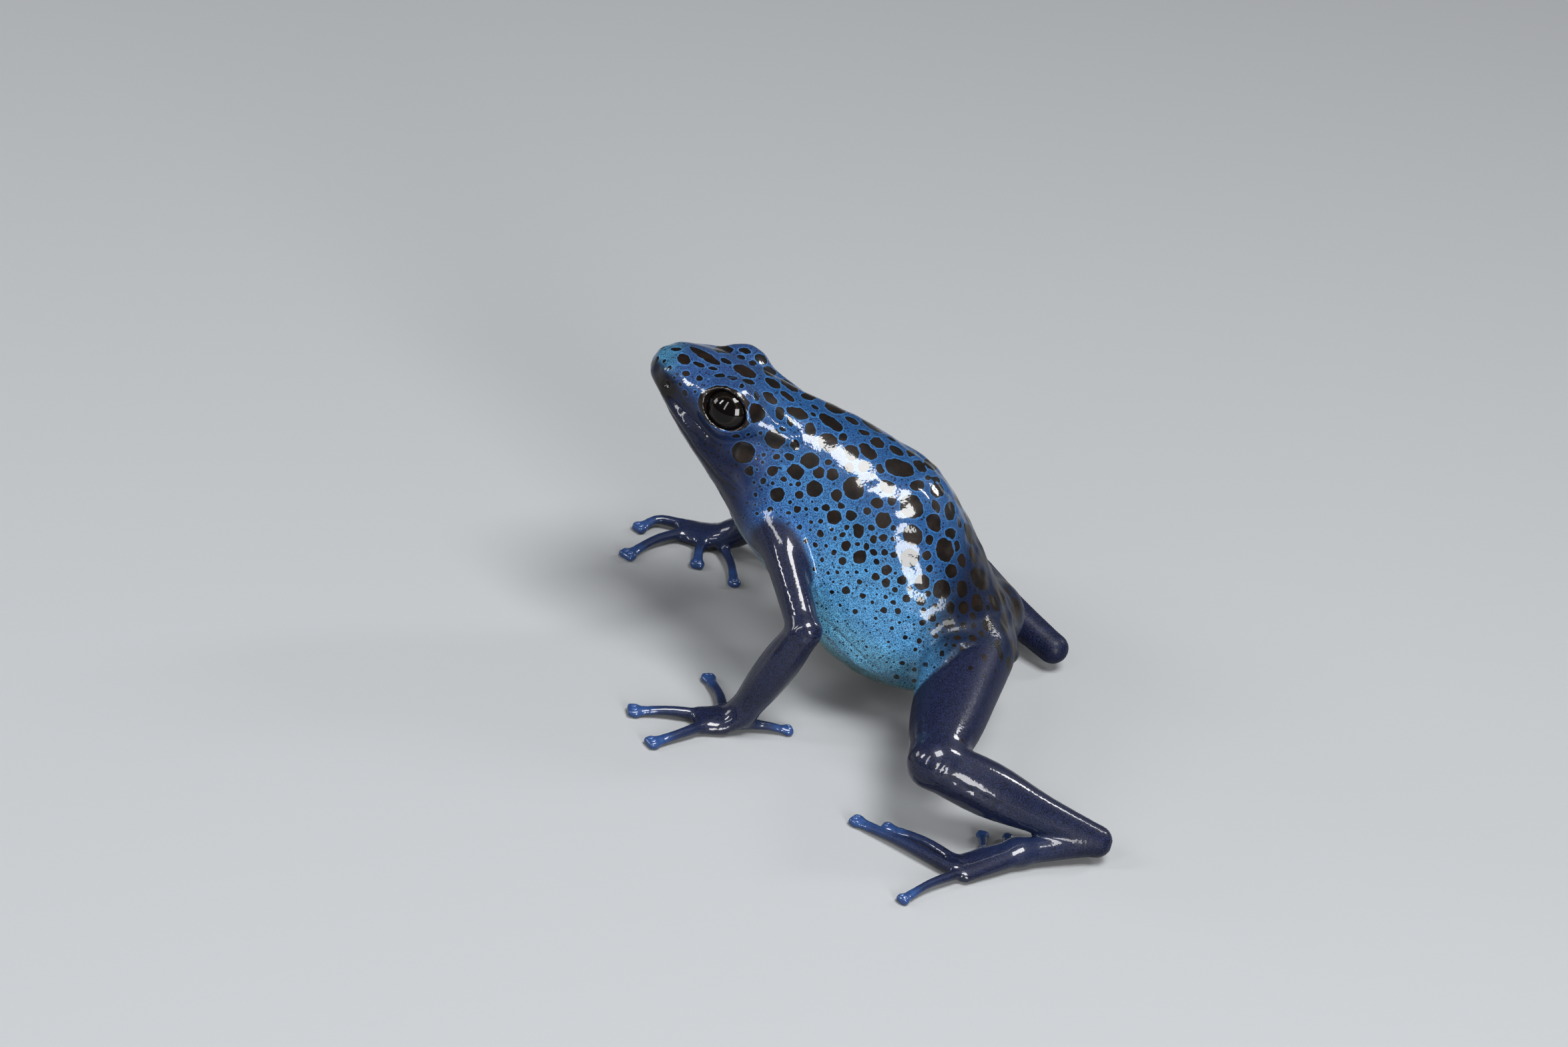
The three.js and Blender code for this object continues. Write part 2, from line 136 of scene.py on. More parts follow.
def smooth(knots, rows, at):  # a cubic through rows of values at uneven knots
    slopes = np.diff(rows, axis=0) / np.diff(knots)[:, None]
    before, after = np.diff(knots)[:-1, None], np.diff(knots)[1:, None]
    inner = (slopes[:-1] * after + slopes[1:] * before) / (before + after)
    tangents = np.vstack([slopes[:1], inner, slopes[-1:]])
    i = np.searchsorted(knots[1:-1], at, side="left")
    step = (knots[i + 1] - knots[i])[:, None]
    t = (at - knots[i])[:, None] / step
    start = (1 + 2 * t) * (1 - t) ** 2 * rows[i] + t * (1 - t) ** 2 * step * tangents[i]
    return start + t * t * (3 - 2 * t) * rows[i + 1] - t * t * (1 - t) * step * tangents[i + 1]


trunkRows = np.array([[*top, *low, *rest] for top, low, *rest in trunk["stations"].values()], float)
trunkKnots = np.r_[0, np.cumsum(np.linalg.norm(np.diff(trunkRows[:, :5], axis=0), axis=1))]


def trunkPoints(at, angle):  # angle goes round from the right side over the back
    topX, topZ, lowX, lowZ, half, widest, square, narrow = smooth(trunkKnots, trunkRows, at).T
    height = np.hypot(topX - lowX, topZ - lowZ)
    sine = np.sin(angle)
    power = 2 / np.where(sine > 0, square, trunk["lowerSquare"])
    rise = np.abs(sine) ** power
    level = widest * height + rise * np.where(sine > 0, (1 - widest) * height, -widest * height)
    wide = np.sign(np.cos(angle)) * np.abs(np.cos(angle)) ** power
    side = wide * half * (1 - np.where(sine > 0, narrow * rise, 0))
    return np.stack([lowX + (topX - lowX) / height * level, side, lowZ + (topZ - lowZ) / height * level], 1)


pivot = (trunk["turnFrom"] + trunk["turnTo"]) / 2  # the head turns about this x place


def turned(p, whole=False):  # the head's turn, whole or growing forwards, and then the trunk's lean
    p = np.atleast_2d(np.asarray(p, float))
    part = 1 if whole else share(-p[:, 0], -trunk["turnFrom"], -trunk["turnTo"])
    turn = np.radians(trunk["turnDegrees"]) * part
    x = pivot + (p[:, 0] - pivot) * np.cos(turn) - p[:, 1] * np.sin(turn)
    y = (p[:, 0] - pivot) * np.sin(turn) + p[:, 1] * np.cos(turn)
    lean = math.radians(trunk["leanDegrees"])
    z = p[:, 2] - trunk["leanHeight"]
    y, z = y * math.cos(lean) + z * math.sin(lean), z * math.cos(lean) - y * math.sin(lean)
    return np.stack([x, y, trunk["leanHeight"] + z], 1)


sides = {"left": -1, "right": 1}
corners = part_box("eye_left")
leftEye = turned([eye["x"], -eye["side"], eye["z"]], True)[0]
shift = leftEye - np.array((corners[0] + corners[1]) / 2) / millimetre
eyeCentres = {
    side: turned([eye["x"] - eye["forward"], way * eye["side"], eye["z"]], True)[0]
    for side, way in sides.items()
}


def toFrame(p):
    return (np.asarray(p, float) - shift) * millimetre


# Camera: the photograph's view, in this frame

camera = {
    "target": (-0.25, 0, 13.3), "distance": 379, "lens": 100,
    "azimuth": 5, "elevation": 30, "roll": 14,  # degrees
    "clip": (0.01, 10),  # metres
}


def makeCamera():
    a, e, roll = (math.radians(camera[k]) for k in ("azimuth", "elevation", "roll"))
    back = np.array([math.sin(a) * math.cos(e), -math.cos(a) * math.cos(e), math.sin(e)])
    right = np.array([math.cos(a), math.sin(a), 0])
    up = np.cross(back, right)
    across = math.cos(roll) * right + math.sin(roll) * up
    over = -math.sin(roll) * right + math.cos(roll) * up
    place = toFrame(np.array(camera["target"]) + camera["distance"] * back)
    data = bpy.data.cameras.new("camera")
    data.lens = camera["lens"]
    data.clip_start, data.clip_end = camera["clip"]
    made = newObject("camera", data)
    rows = [[across[i], over[i], back[i], place[i]] for i in range(3)]
    made.matrix_world = Matrix([*rows, [0, 0, 0, 1]])
    bpy.context.scene.camera = made
    return np.array(camera["target"]) + camera["distance"] * back, across, over, back


cameraPlace, cameraAcross, cameraOver, cameraBack = makeCamera()

# Field: how far each point of a grid is outside the skin

grid = {"step": 0.155, "margin": 1.1, "far": 9.0, "trunkBand": 14, "meshEvery": 2, "leastSlope": 0.2}
low = np.floor((np.array(cadBox[0]) / millimetre + shift - grid["margin"]) / grid["step"]).astype(int)
high = np.ceil((np.array(cadBox[1]) / millimetre + shift + grid["margin"]) / grid["step"]).astype(int)
axes = [np.arange(low[k], high[k] + 1) * grid["step"] for k in range(3)]
field = np.full([len(a) for a in axes], grid["far"], np.float32)
limbField = field.copy()


def window(places, margin):  # the part of the grid round some places, and its coordinates
    places = np.atleast_2d(places)
    cut, coordinates = [], []
    for k in range(3):
        first = np.searchsorted(axes[k], places[:, k].min() - margin)
        last = np.searchsorted(axes[k], places[:, k].max() + margin)
        cut.append(slice(first, last))
        along = [-1 if i == k else 1 for i in range(3)]
        coordinates.append(axes[k][first:last].reshape(along).astype(np.float32))
    return tuple(cut), coordinates


def softMin(a, b, blend):
    return np.minimum(a, b) - np.maximum(blend - np.abs(a - b), 0) ** 2 / (4 * blend)


def straight(xyz, p, q, halves):  # distance from a rounded length with half widths and half heights
    length = np.linalg.norm(q - p)
    along = (q - p) / length
    across = unit(np.cross([0, 0, 1], along)) if abs(along[2]) < steep else np.array([1.0, 0, 0])
    over = np.cross(along, across)
    d = [xyz[k] - np.float32(p[k]) for k in range(3)]
    t = np.clip((d[0] * along[0] + d[1] * along[1] + d[2] * along[2]) / length, 0, 1).astype(np.float32)
    d = [d[k] - t * np.float32(q[k] - p[k]) for k in range(3)]
    u, v, w = (d[0] * n[0] + d[1] * n[1] + d[2] * n[2] for n in (across, over, along))
    a, b = (np.interp(t, np.linspace(0, 1, len(halves)), halves[:, k]).astype(np.float32) for k in range(2))
    ratio = np.sqrt((u / a) ** 2 + (v / b) ** 2 + (w / b) ** 2) + tiny
    r = np.sqrt(u * u + v * v + w * w)
    return (r - r / ratio).astype(np.float32)


def curved(xyz, places, halves):  # the same along a bent line
    pairs = zip(places[:-1], places[1:], halves[:-1], halves[1:])
    return np.minimum.reduce([straight(xyz, p, q, np.array([h, k])) for p, q, h, k in pairs])


def ball(xyz, centre, radii, turn=np.eye(3)):  # distance from an ellipsoid whose axes are turn's rows
    d = [xyz[k] - np.float32(centre[k]) for k in range(3)]
    u = [d[0] * n[0] + d[1] * n[1] + d[2] * n[2] for n in turn]
    ratio = np.sqrt(sum((u[k] / radii[k]) ** 2 for k in range(3))) + tiny
    r = np.sqrt(sum(c * c for c in u))
    return (r - r / ratio).astype(np.float32)


def block(xyz, centre, halves, rounding, turn):  # distance from a box with rounded edges
    d = [xyz[k] - np.float32(centre[k]) for k in range(3)]
    u = [d[0] * n[0] + d[1] * n[1] + d[2] * n[2] for n in turn]
    q = [np.abs(u[k]) - (halves[k] - rounding) for k in range(3)]
    outside = np.sqrt(sum(np.maximum(c, 0) ** 2 for c in q))
    return (outside + np.minimum(np.maximum(np.maximum(q[0], q[1]), q[2]), 0) - rounding).astype(np.float32)


def addTrunk():
    rings = (len(trunkKnots) - 1) * trunk["ringsPerStation"] + 1
    at = np.interp(np.linspace(0, len(trunkKnots) - 1, rings), np.arange(len(trunkKnots)), trunkKnots)
    angle = np.linspace(0, 2 * np.pi, trunk["sides"], endpoint=False)
    n = trunk["sides"]
    skin = turned(trunkPoints(np.repeat(at, n), np.tile(angle, len(at))))
    ends = np.vstack([skin[:n].mean(0), skin[-n:].mean(0)])
    points = np.vstack([skin, ends]) / grid["step"]
    j = np.arange(n)
    k = (j + 1) % n
    ring = np.stack([j, k, n + k, n + j], 1)
    quads = np.concatenate([ring + i * n for i in range(rings - 1)])
    first, last = len(skin), len(skin) + 1
    caps = np.vstack([
        np.stack([k, j, np.full(n, first)], 1),
        np.stack([(rings - 1) * n + j, (rings - 1) * n + k, np.full(n, last)], 1),
    ])
    made = vdb.FloatGrid.createLevelSetFromPolygons(
        points.astype(np.float32), triangles=caps.astype(np.uint32), quads=quads.astype(np.uint32),
        transform=vdb.createLinearTransform(1.0), halfWidth=grid["trunkBand"],
    )
    made.copyToArray(field, ijk=tuple(int(v) for v in low))
    np.multiply(field, grid["step"], out=field)
    return np.repeat(at, n), np.tile(angle, len(at)), skin


trunkAt, trunkAngle, trunkSkin = addTrunk()
trunkField = field.copy()
print("trunk", trunkField.shape, "nearest", trunkField.min())

# Limbs: places on the mid line of each, half widths and half heights along it, and how wide each
# blends into what it grows from

limbs = {
    "left": {
        "shoulder": (-0.1, -5.3, 15.3), "elbow": (4.75, -12.4, 10.9), "wrist": (1.35, -13.2, 2.0),
        "palm": (0.0, -13.6, 0.85), "knuckles": (-1.9, -14.3, 0.62),
        "fingers": (
            ((1.6, -13.2), (3.6, -12.4), (5.3, -11.6)),
            ((-0.3, -12.6), (-1.2, -9.9), (-2.7, -7.3)),
            ((-1.9, -13.7), (-4.8, -14.6), (-7.3, -15.5)),
            ((-1.2, -14.9), (-2.9, -17.4), (-4.8, -19.4)),
        ),
        "hip": (18.4, -4.2, 8.5), "knee": (18.5, -20.4, 7.1), "heel": (33.4, -16.5, 1.8),
        "tarsusEnd": (27.4, -20.5, 1.15), "ball": (23.0, -24.9, 0.6),
        "toes": (
            ((25.4, -22.0), (26.0, -19.8), (26.2, -17.8)),
            ((24.2, -23.2), (24.4, -20.9), (24.1, -18.6)),
            ((22.9, -24.2), (19.5, -22.5), (16.4, -21.7)),
            ((22.6, -25.3), (17.3, -23.4), (13.8, -22.0)),
            ((22.9, -26.0), (21.1, -28.4), (19.5, -31.0)),
        ),
    },
    "right": {
        "shoulder": (-0.4, 5.7, 14.4), "elbow": (0.9, 12.9, 8.6), "wrist": (-5.8, 15.3, 2.0),
        "palm": (-8.2, 15.4, 0.85), "knuckles": (-10.3, 15.6, 0.62),
        "fingers": (
            ((-6.6, 14.6), (-5.2, 12.2), (-4.2, 9.6)),
            ((-8.2, 14.4), (-8.3, 12.7), (-8.0, 10.9)),
            ((-10.2, 14.9), (-12.3, 12.3), (-14.0, 9.1)),
            ((-10.9, 16.2), (-13.0, 15.8), (-14.2, 14.2)),
        ),
        "hip": (18.2, 4.6, 7.5), "knee": (10.3, 18.8, 5.4), "heel": (25.1, 11.7, 2.0),
        "tarsusEnd": (18.7, 17.4, 1.15), "ball": (14.0, 21.5, 0.6),
        "toes": (
            ((15.9, 18.9), (15.5, 16.6), (14.8, 14.6)),
            ((14.9, 20.0), (13.6, 17.9), (12.2, 15.9)),
            ((13.9, 20.8), (10.4, 20.6), (6.8, 20.0)),
            ((13.6, 21.9), (8.6, 24.1), (4.3, 25.0)),
            ((13.9, 22.6), (12.6, 25.4), (11.4, 28.0)),
        ),
    },
}
lengths = {
    "upperArm": {
        "from": ("shoulder", "elbow"), "blend": 1.5,
        "halves": ((2.1, 2.1), (1.65, 1.7), (1.5, 1.5), (1.4, 1.35)),
    },
    "forearm": {
        "from": ("elbow", "wrist"), "blend": 0.5,
        "halves": ((1.45, 1.4), (1.75, 1.7), (1.7, 1.6), (1.3, 1.2)),
    },
    "hand": {
        "from": ("wrist", "palm", "knuckles"), "blend": 0.9,
        "halves": ((1.2, 1.05), (1.75, 0.95), (1.75, 0.7)),
    },
    "thigh": {
        "from": ("hip", "knee"), "blend": 1.3,
        "halves": ((3.95, 3.5), (3.55, 3.2), (3.1, 2.8), (2.15, 2.1)),
    },
    "shank": {
        "from": ("knee", "heel"), "blend": 0.6,
        "halves": ((2.2, 2.15), (2.45, 2.35), (1.75, 1.7), (1.4, 1.35)),
    },
    "tarsus": {
        "from": ("heel", "tarsusEnd"), "blend": 0.35,
        "halves": ((1.3, 1.2), (1.25, 1.1), (1.3, 1.0)),
    },
    "sole": {
        "from": ("tarsusEnd", "ball"), "blend": 0.8,
        "halves": ((1.3, 0.95), (1.45, 0.8), (1.6, 0.68)),
    },
}
digit = {
    "root": 0.75, "height": 0.38, "blend": 0.5, "spreadBlend": 0.12,
    # A digit is no thicker than a share of its disc, and widens again towards it
    "fingerHalf": 0.5, "toeHalf": 0.53, "discShare": 0.82,
    "taper": ((1.05, 1.05), (0.95, 0.92), (0.86, 0.76), (1.2, 0.68)),
    "fingerDiscs": (0.55, 0.62, 0.8, 0.7), "toeDiscs": (0.42, 0.5, 0.62, 0.68, 0.5),
    # Each disc is a flat pad cut off square at its end, in shares of its half width, or in mm
    "padLong": 0.6, "padWide": 0.95, "padHigh": 0.32, "padRound": 0.8, "padBlend": 0.45,
    "grooveBehind": 1.15, "grooveHalf": 0.1, "grooveDepth": 0.035, "grooveMargin": 0.3,
}
# How many places a limb's length and a digit are worked out at, and one in how many a bent length uses
counts = {"limb": 13, "digit": 8, "fine": 200, "bentEvery": 3}


def sampled(places, halves, pieces):  # evenly spread places and sizes along a curve through places
    places = np.array(places, float)
    knots = np.r_[0, np.cumsum(np.sqrt(np.linalg.norm(np.diff(places, axis=0), axis=1)))]
    if len(places) > 2:
        fine = smooth(knots, places, np.linspace(0, knots[-1], counts["fine"]))
    else:
        fine = np.linspace(*places, counts["fine"])
    run = np.r_[0, np.cumsum(np.linalg.norm(np.diff(fine, axis=0), axis=1))]
    even = np.stack([np.interp(np.linspace(0, run[-1], pieces), run, fine[:, k]) for k in range(3)], 1)
    rows = np.arange(len(halves), dtype=float)
    return even, smooth(rows, np.array(halves, float), np.linspace(0, len(halves) - 1, pieces))


def digits(side, kind):  # each digit's mid line, sizes and disc
    for line, disc in zip(limbs[side][kind], digit["fingerDiscs" if kind == "fingers" else "toeDiscs"]):
        half = min(digit["fingerHalf" if kind == "fingers" else "toeHalf"], digit["discShare"] * disc)
        heights = (digit["root"], digit["root"], digit["height"])
        spine = [(x, y, z) for (x, y), z in zip(line, heights)]
        places, sizes = sampled(spine, [(half * a, half * b) for a, b in digit["taper"]], counts["digit"])
        yield places, sizes, disc


def allDigits():
    return [one for side in limbs for kind in ("fingers", "toes") for one in digits(side, kind)]


def discAxes(places):
    along = unit((places[-1] - places[-3]) * (1, 1, 0))
    return np.array([along, [-along[1], along[0], 0], [0, 0, 1]])


def spreadOf(fan, cut, like):  # distance from a hand's or foot's digits, in a cut of the grid
    spread = np.full_like(like, grid["far"])
    for p, s, d in fan:
        part, near = window(p, 3 * digit["blend"])
        local = tuple(slice(a.start - b.start, a.stop - b.start) for a, b in zip(part, cut))
        halves = (digit["padLong"] * d, digit["padWide"] * d, digit["padHigh"])
        middle = p[-1] + discAxes(p)[0] * (d - halves[0])
        pad = block(near, middle, halves, digit["padRound"] * min(halves), discAxes(p))
        one = softMin(curved(near, p, s), pad, digit["padBlend"])
        spread[local] = softMin(spread[local], one, digit["spreadBlend"])
    return spread


def addLimbs():
    every = counts["bentEvery"]
    for side in limbs:
        for name, row in lengths.items():
            places, sizes = sampled([limbs[side][k] for k in row["from"]], row["halves"], counts["limb"])
            kind = {"hand": "fingers", "sole": "toes"}.get(name)
            fan = list(digits(side, kind)) if kind else []
            cut, xyz = window(np.vstack([places, *[p for p, s, d in fan]]), sizes.max() + 2 * row["blend"])
            if len(row["from"]) == 2:
                body = straight(xyz, places[0], places[-1], sizes)
            else:
                body = curved(xyz, places[::every], sizes[::every])
            body = softMin(body, spreadOf(fan, cut, body), digit["blend"])
            limbField[cut] = np.minimum(limbField[cut], body)
            field[cut] = softMin(field[cut], body, row["blend"])


addLimbs()
print("limbs")


def gazeOf(way):
    return unit(np.array(eye["gaze"]) * (1, way, 1))


def carveHead():  # brow and lids over each eyeball, and the opening that shows it
    for side, way in sides.items():
        centre = eyeCentres[side]
        gaze = gazeOf(way)
        level = unit(np.cross([0, 0, 1], gaze))
        tilt = math.radians(eye["tiltDegrees"]) * way
        long = math.cos(tilt) * level + math.sin(tilt) * np.cross(gaze, level)
        turn = np.array([long, np.cross(gaze, long), gaze])
        for end, halves in eye["ridges"]:
            end = turned(np.array(end) * (1, way, 1), True)[0]
            cut, xyz = window([centre, end], eye["lidRadius"] + eye["ridgeBlend"])
            field[cut] = softMin(field[cut], straight(xyz, centre, end, np.array(halves)), eye["ridgeBlend"])
        cut, xyz = window(centre, eye["lidRadius"] + eye["lidBlend"])
        field[cut] = softMin(field[cut], ball(xyz, centre, [eye["lidRadius"]] * 3), eye["lidBlend"])
        hole = ball(xyz, centre + gaze * eye["radius"], eye["opening"], turn)
        socket = ball(xyz, centre, [eye["radius"] + eye["slit"]] * 3)
        socket = socket + grid["far"] * (hole > eye["socketWithin"])
        field[cut] = -softMin(-field[cut], np.minimum(hole, socket), eye["rimBlend"])


def layOnFloor():  # nothing goes below the floor
    np.maximum(field, -axes[2].reshape(1, 1, -1).astype(np.float32), out=field)


carveHead()
layOnFloor()
print("field")


def sample(array, places):  # the value between the grid's points
    at = places / grid["step"] - low
    i = np.clip(np.floor(at).astype(int), 0, np.array(array.shape) - 2)
    t = at - i
    total = 0
    for corner in np.ndindex(2, 2, 2):
        weight = np.prod([t[:, k] if corner[k] else 1 - t[:, k] for k in range(3)], axis=0)
        total = total + weight * array[i[:, 0] + corner[0], i[:, 1] + corner[1], i[:, 2] + corner[2]]
    return total


def slope(array, places, reach=0.1):
    rises = [sample(array, places + step) - sample(array, places - step) for step in np.eye(3) * reach]
    return np.stack(rises, 1) / (2 * reach)


def settle(places, rounds=3):  # draws points on to the skin
    for _ in range(rounds):
        out = slope(field, places)
        squared = np.maximum((out**2).sum(1), grid["leastSlope"])
        places = places - out * (sample(field, places) / squared)[:, None]
    places[:, 2] = np.maximum(places[:, 2], 0)
    return places


skinForm = {"fineDigits": 0.9, "fineEye": 3.3, "fineMouth": 0.6, "fineFacing": 0.3}
mouthLine = ((-16, 25), (-13.5, 23.6), (-11, 21.75), (-8.8, 20.1), (-6.7, 18.75), (-4.4, 17.8), (-2.9, 17.4))
mouthSlant = 0.8  # turns a height above that sloping line into a distance from it


def headPlace(places):  # back to the head's own frame, with no turn and no lean
    lean = math.radians(trunk["leanDegrees"])
    turn = math.radians(trunk["turnDegrees"])
    y, z = places[:, 1], places[:, 2] - trunk["leanHeight"]
    y, z = y * math.cos(lean) - z * math.sin(lean), y * math.sin(lean) + z * math.cos(lean)
    x = places[:, 0] - pivot
    x, y = x * math.cos(turn) + y * math.sin(turn), y * math.cos(turn) - x * math.sin(turn)
    return np.stack([x + pivot, y, z + trunk["leanHeight"]], 1)


def aboveMouth(places):
    at = headPlace(places)
    line = np.array(mouthLine)
    height = at[:, 2] - np.interp(at[:, 0], line[:, 0], line[:, 1])
    return np.where(at[:, 0] < line[-1, 0], height, grid["far"]) * mouthSlant


def meshSkin():
    every = grid["meshEvery"]
    coarse = vdb.FloatGrid()
    coarse.copyFromArray(np.ascontiguousarray(field[::every, ::every, ::every]))
    places, quads = coarse.convertToQuads(0.0)
    places = settle((np.array(places) * every + low) * grid["step"])
    mesh = bpy.data.meshes.new("skin")
    mesh.from_pydata([], [], [])
    shape = bmesh.new()
    verts = [shape.verts.new(p) for p in places]
    for quad in quads:
        shape.faces.new([verts[i] for i in quad])
    digitTree = treeOf(np.vstack([p for p, s, d in allDigits()]))
    fine = np.array([digitTree.find(p)[2] < skinForm["fineDigits"] for p in places])
    for centre in eyeCentres.values():
        fine |= np.linalg.norm(places - centre, axis=1) < skinForm["fineEye"]
    fine |= np.abs(aboveMouth(places)) < skinForm["fineMouth"]
    onTrunk = sample(trunkField, places) < sample(limbField, places)
    fine |= onTrunk & (slope(field, places) @ cameraBack > skinForm["fineFacing"])
    shape.verts.index_update()
    edges = [e for e in shape.edges if fine[e.verts[0].index] and fine[e.verts[1].index]]
    bmesh.ops.subdivide_edges(shape, edges=edges, cuts=1, use_grid_fill=True)
    bmesh.ops.triangulate(shape, faces=shape.faces[:])
    bmesh.ops.recalc_face_normals(shape, faces=shape.faces[:])
    shape.to_mesh(mesh)
    shape.free()
    return mesh


skinMesh = meshSkin()
skin = np.empty(len(skinMesh.vertices) * 3, np.float32)
skinMesh.vertices.foreach_get("co", skin)
skin = settle(skin.reshape(-1, 3).astype(float))
print("skin", len(skin), "points", len(skinMesh.polygons), "triangles")

# Forms: the lips, nostrils, ear discs, folds and soft dents, as heights along the skin's normal

view = {"centre": (1174.5, 784), "pixelsPerMm": 17.2}  # the photograph's middle, and its scale at the frog
foldSteps = 60  # along each fold
foldMargin = 1  # mm round a fold that it may reach
# Folds, followed in the photograph's pixels: height in mm, half width in mm, then the line's places
folds = {
    "brow": (0.17, 0.24, (1098, 566), (1115, 583), (1135, 606), (1150, 623), (1163, 641)),
    "lower lid": (0.07, 0.14, (1056, 620), (1064, 632), (1080, 643), (1100, 644), (1118, 636)),
    "cheek roll": (0.16, 0.45, (1020, 622), (1033, 637), (1053, 656), (1071, 673), (1084, 686)),
    "flank crease": (-0.24, 0.17, (1224, 921), (1248, 941), (1270, 963), (1292, 985), (1316, 1003)),
    "flank roll": (0.14, 0.4, (1222, 936), (1243, 953), (1265, 974), (1288, 996), (1312, 1012)),
    "groin fill": (0.3, 0.9, (1448, 951), (1421, 962), (1399, 976), (1381, 996)),
    "groin crease": (-0.34, 0.24, (1463, 966), (1443, 970), (1421, 990), (1402, 1005), (1382, 1021)),
    "groin roll": (0.14, 0.35, (1455, 958), (1436, 966), (1414, 984), (1394, 998), (1376, 1012)),
    "shank groove": (-0.16, 0.16, (1424, 1166), (1440, 1177), (1475, 1195), (1500, 1208), (1526, 1222)),
    "shank ridge": (0.1, 0.2, (1440, 1185), (1460, 1192), (1482, 1204), (1507, 1219), (1534, 1236)),
    "knee crease": (-0.16, 0.15, (1420, 1136), (1412, 1150), (1402, 1166)),
    "arm edge front": (0.09, 0.18, (1157, 795), (1165, 840), (1177, 879), (1190, 915), (1192, 935)),
    "arm edge back": (0.06, 0.5, (1177, 787), (1183, 825), (1192, 861), (1204, 900), (1216, 953)),
    "armpit": (0.12, 0.15, (1201, 798), (1213, 840), (1223, 879), (1229, 902)),
    "elbow crease": (-0.16, 0.18, (1197, 944), (1210, 957), (1226, 967)),
    "forearm edge": (0.2, 0.34, (1193, 939), (1177, 960), (1150, 996), (1123, 1035)),
}
forms = {
    "lip": {"depth": 0.1, "half": 0.13, "swell": 0.2, "swellAt": 0.42, "swellHalf": 0.5, "ends": (3.6, 6.4)},
    "nostril": {
        "x": -12.9, "z": 24.7, "radius": 0.22, "depth": 0.3, "rim": 0.06, "rimAt": 0.42, "rimHalf": 0.14,
    },
    "ear": {"x": -5.0, "z": 21.3, "radius": 0.9, "depth": 0.06, "rim": 0.03, "rimHalf": 0.15, "floor": 0.3},
}


def bell(value, half):
    return np.exp(-((value / half) ** 2))


def formHeights(places):
    at = headPlace(places)
    line = aboveMouth(places)
    lip = forms["lip"]
    swell = lip["swell"] * bell(line - lip["swellAt"], lip["swellHalf"])
    height = (swell - lip["depth"] * bell(line, lip["half"])) * share(-at[:, 0], *lip["ends"])
    pit = forms["nostril"]
    away = np.hypot(at[:, 0] - pit["x"], at[:, 2] - pit["z"])
    rim = pit["rim"] * bell(away - pit["rimAt"], pit["rimHalf"])
    height -= pit["depth"] * bell(away, pit["radius"]) - rim
    ear = forms["ear"]
    away = np.hypot(at[:, 0] - ear["x"], at[:, 2] - ear["z"])
    height -= ear["depth"] * share(-away, -ear["radius"], -ear["floor"])
    height += ear["rim"] * bell(away - ear["radius"], ear["rimHalf"])
    return height - digit["grooveDepth"] * grooveShare(places)


def grooveShare(places):  # 1 in the groove behind each disc, 0 away from it
    groove = np.zeros(len(places))
    for p, s, d in allDigits():
        near = np.nonzero(np.linalg.norm(places - p[-1], axis=1) < 2 * d + digit["grooveMargin"])[0]
        along = (places[near] - p[-1]) @ discAxes(p)[0] + digit["grooveBehind"] * d
        groove[near] = np.maximum(groove[near], bell(along, digit["grooveHalf"]))
    return groove


surface = BVHTree.FromPolygons([tuple(p) for p in skin], [tuple(p.vertices) for p in skinMesh.polygons])


def seenPlace(x, y):  # the skin's point at a pixel of the photograph
    across, up = (x - view["centre"][0]) / view["pixelsPerMm"], (view["centre"][1] - y) / view["pixelsPerMm"]
    aim = np.array(camera["target"]) + across * cameraAcross + up * cameraOver
    hit = surface.ray_cast(Vector(cameraPlace), Vector(unit(aim - cameraPlace)))
    return None if hit[0] is None else np.array(hit[0])


def foldHeights(places):  # each fold swells and fades along its line
    height = np.zeros(len(places))
    for rise, half, *line in folds.values():
        line = np.array(line, float)
        fine = np.linspace(0, len(line) - 1, foldSteps)
        pixels = [[np.interp(t, np.arange(len(line)), line[:, k]) for k in range(2)] for t in fine]
        traced = np.array([p for p in (seenPlace(x, y) for x, y in pixels) if p is not None])
        first, last = traced.min(0) - foldMargin, traced.max(0) + foldMargin
        near = np.nonzero(np.all((places > first) & (places < last), axis=1))[0]
        away = np.linalg.norm(places[near, None] - traced[None], axis=2)
        fade = np.sin(np.pi * (away.argmin(1) + 0.5) / len(traced)) ** 0.5
        height[near] += rise * fade * bell(away.min(1), half)
    return height


uneven = {
    "seed": 7, "waves": 40, "lengths": (1.3, 2.8), "rise": 0.017,
    "rearRise": 0.036, "rearEnds": (4, 11),  # between these x places the dents deepen
    "trunkEnds": (-0.5, 0.5),  # and they fade out where a limb leaves the trunk
}


def unevenness(places):  # soft dents all over the trunk, deeper towards the hips, that break up the glints
    random = np.random.default_rng(uneven["seed"])
    height = np.zeros(len(places))
    for _ in range(uneven["waves"]):
        direction = unit(random.normal(size=3))
        turns = places @ direction / random.uniform(*uneven["lengths"]) + random.random()
        height += np.sin(2 * np.pi * turns) * math.sqrt(2 / uneven["waves"])
    rise = uneven["rise"] + (uneven["rearRise"] - uneven["rise"]) * share(places[:, 0], *uneven["rearEnds"])
    onTrunk = share(sample(limbField, places) - sample(trunkField, places), *uneven["trunkEnds"])
    return height * rise * onTrunk


normals = slope(field, skin)
normals /= np.linalg.norm(normals, axis=1)[:, None]
skin = skin + normals * (formHeights(skin) + foldHeights(skin) + unevenness(skin))[:, None]
skin = np.clip(skin, *(np.array(corner) / millimetre + shift for corner in cadBox))
skinMesh.vertices.foreach_set("co", toFrame(skin).astype(np.float32).ravel())
skinMesh.shade_smooth()
skinMesh.update()
print("forms")

# Marks: dark spots. The main ones were read off the photograph, as places in its 2349 by 1568 pixels
# with half lengths and half widths in mm and a turn in degrees, clockwise. The rest grow by a rule.

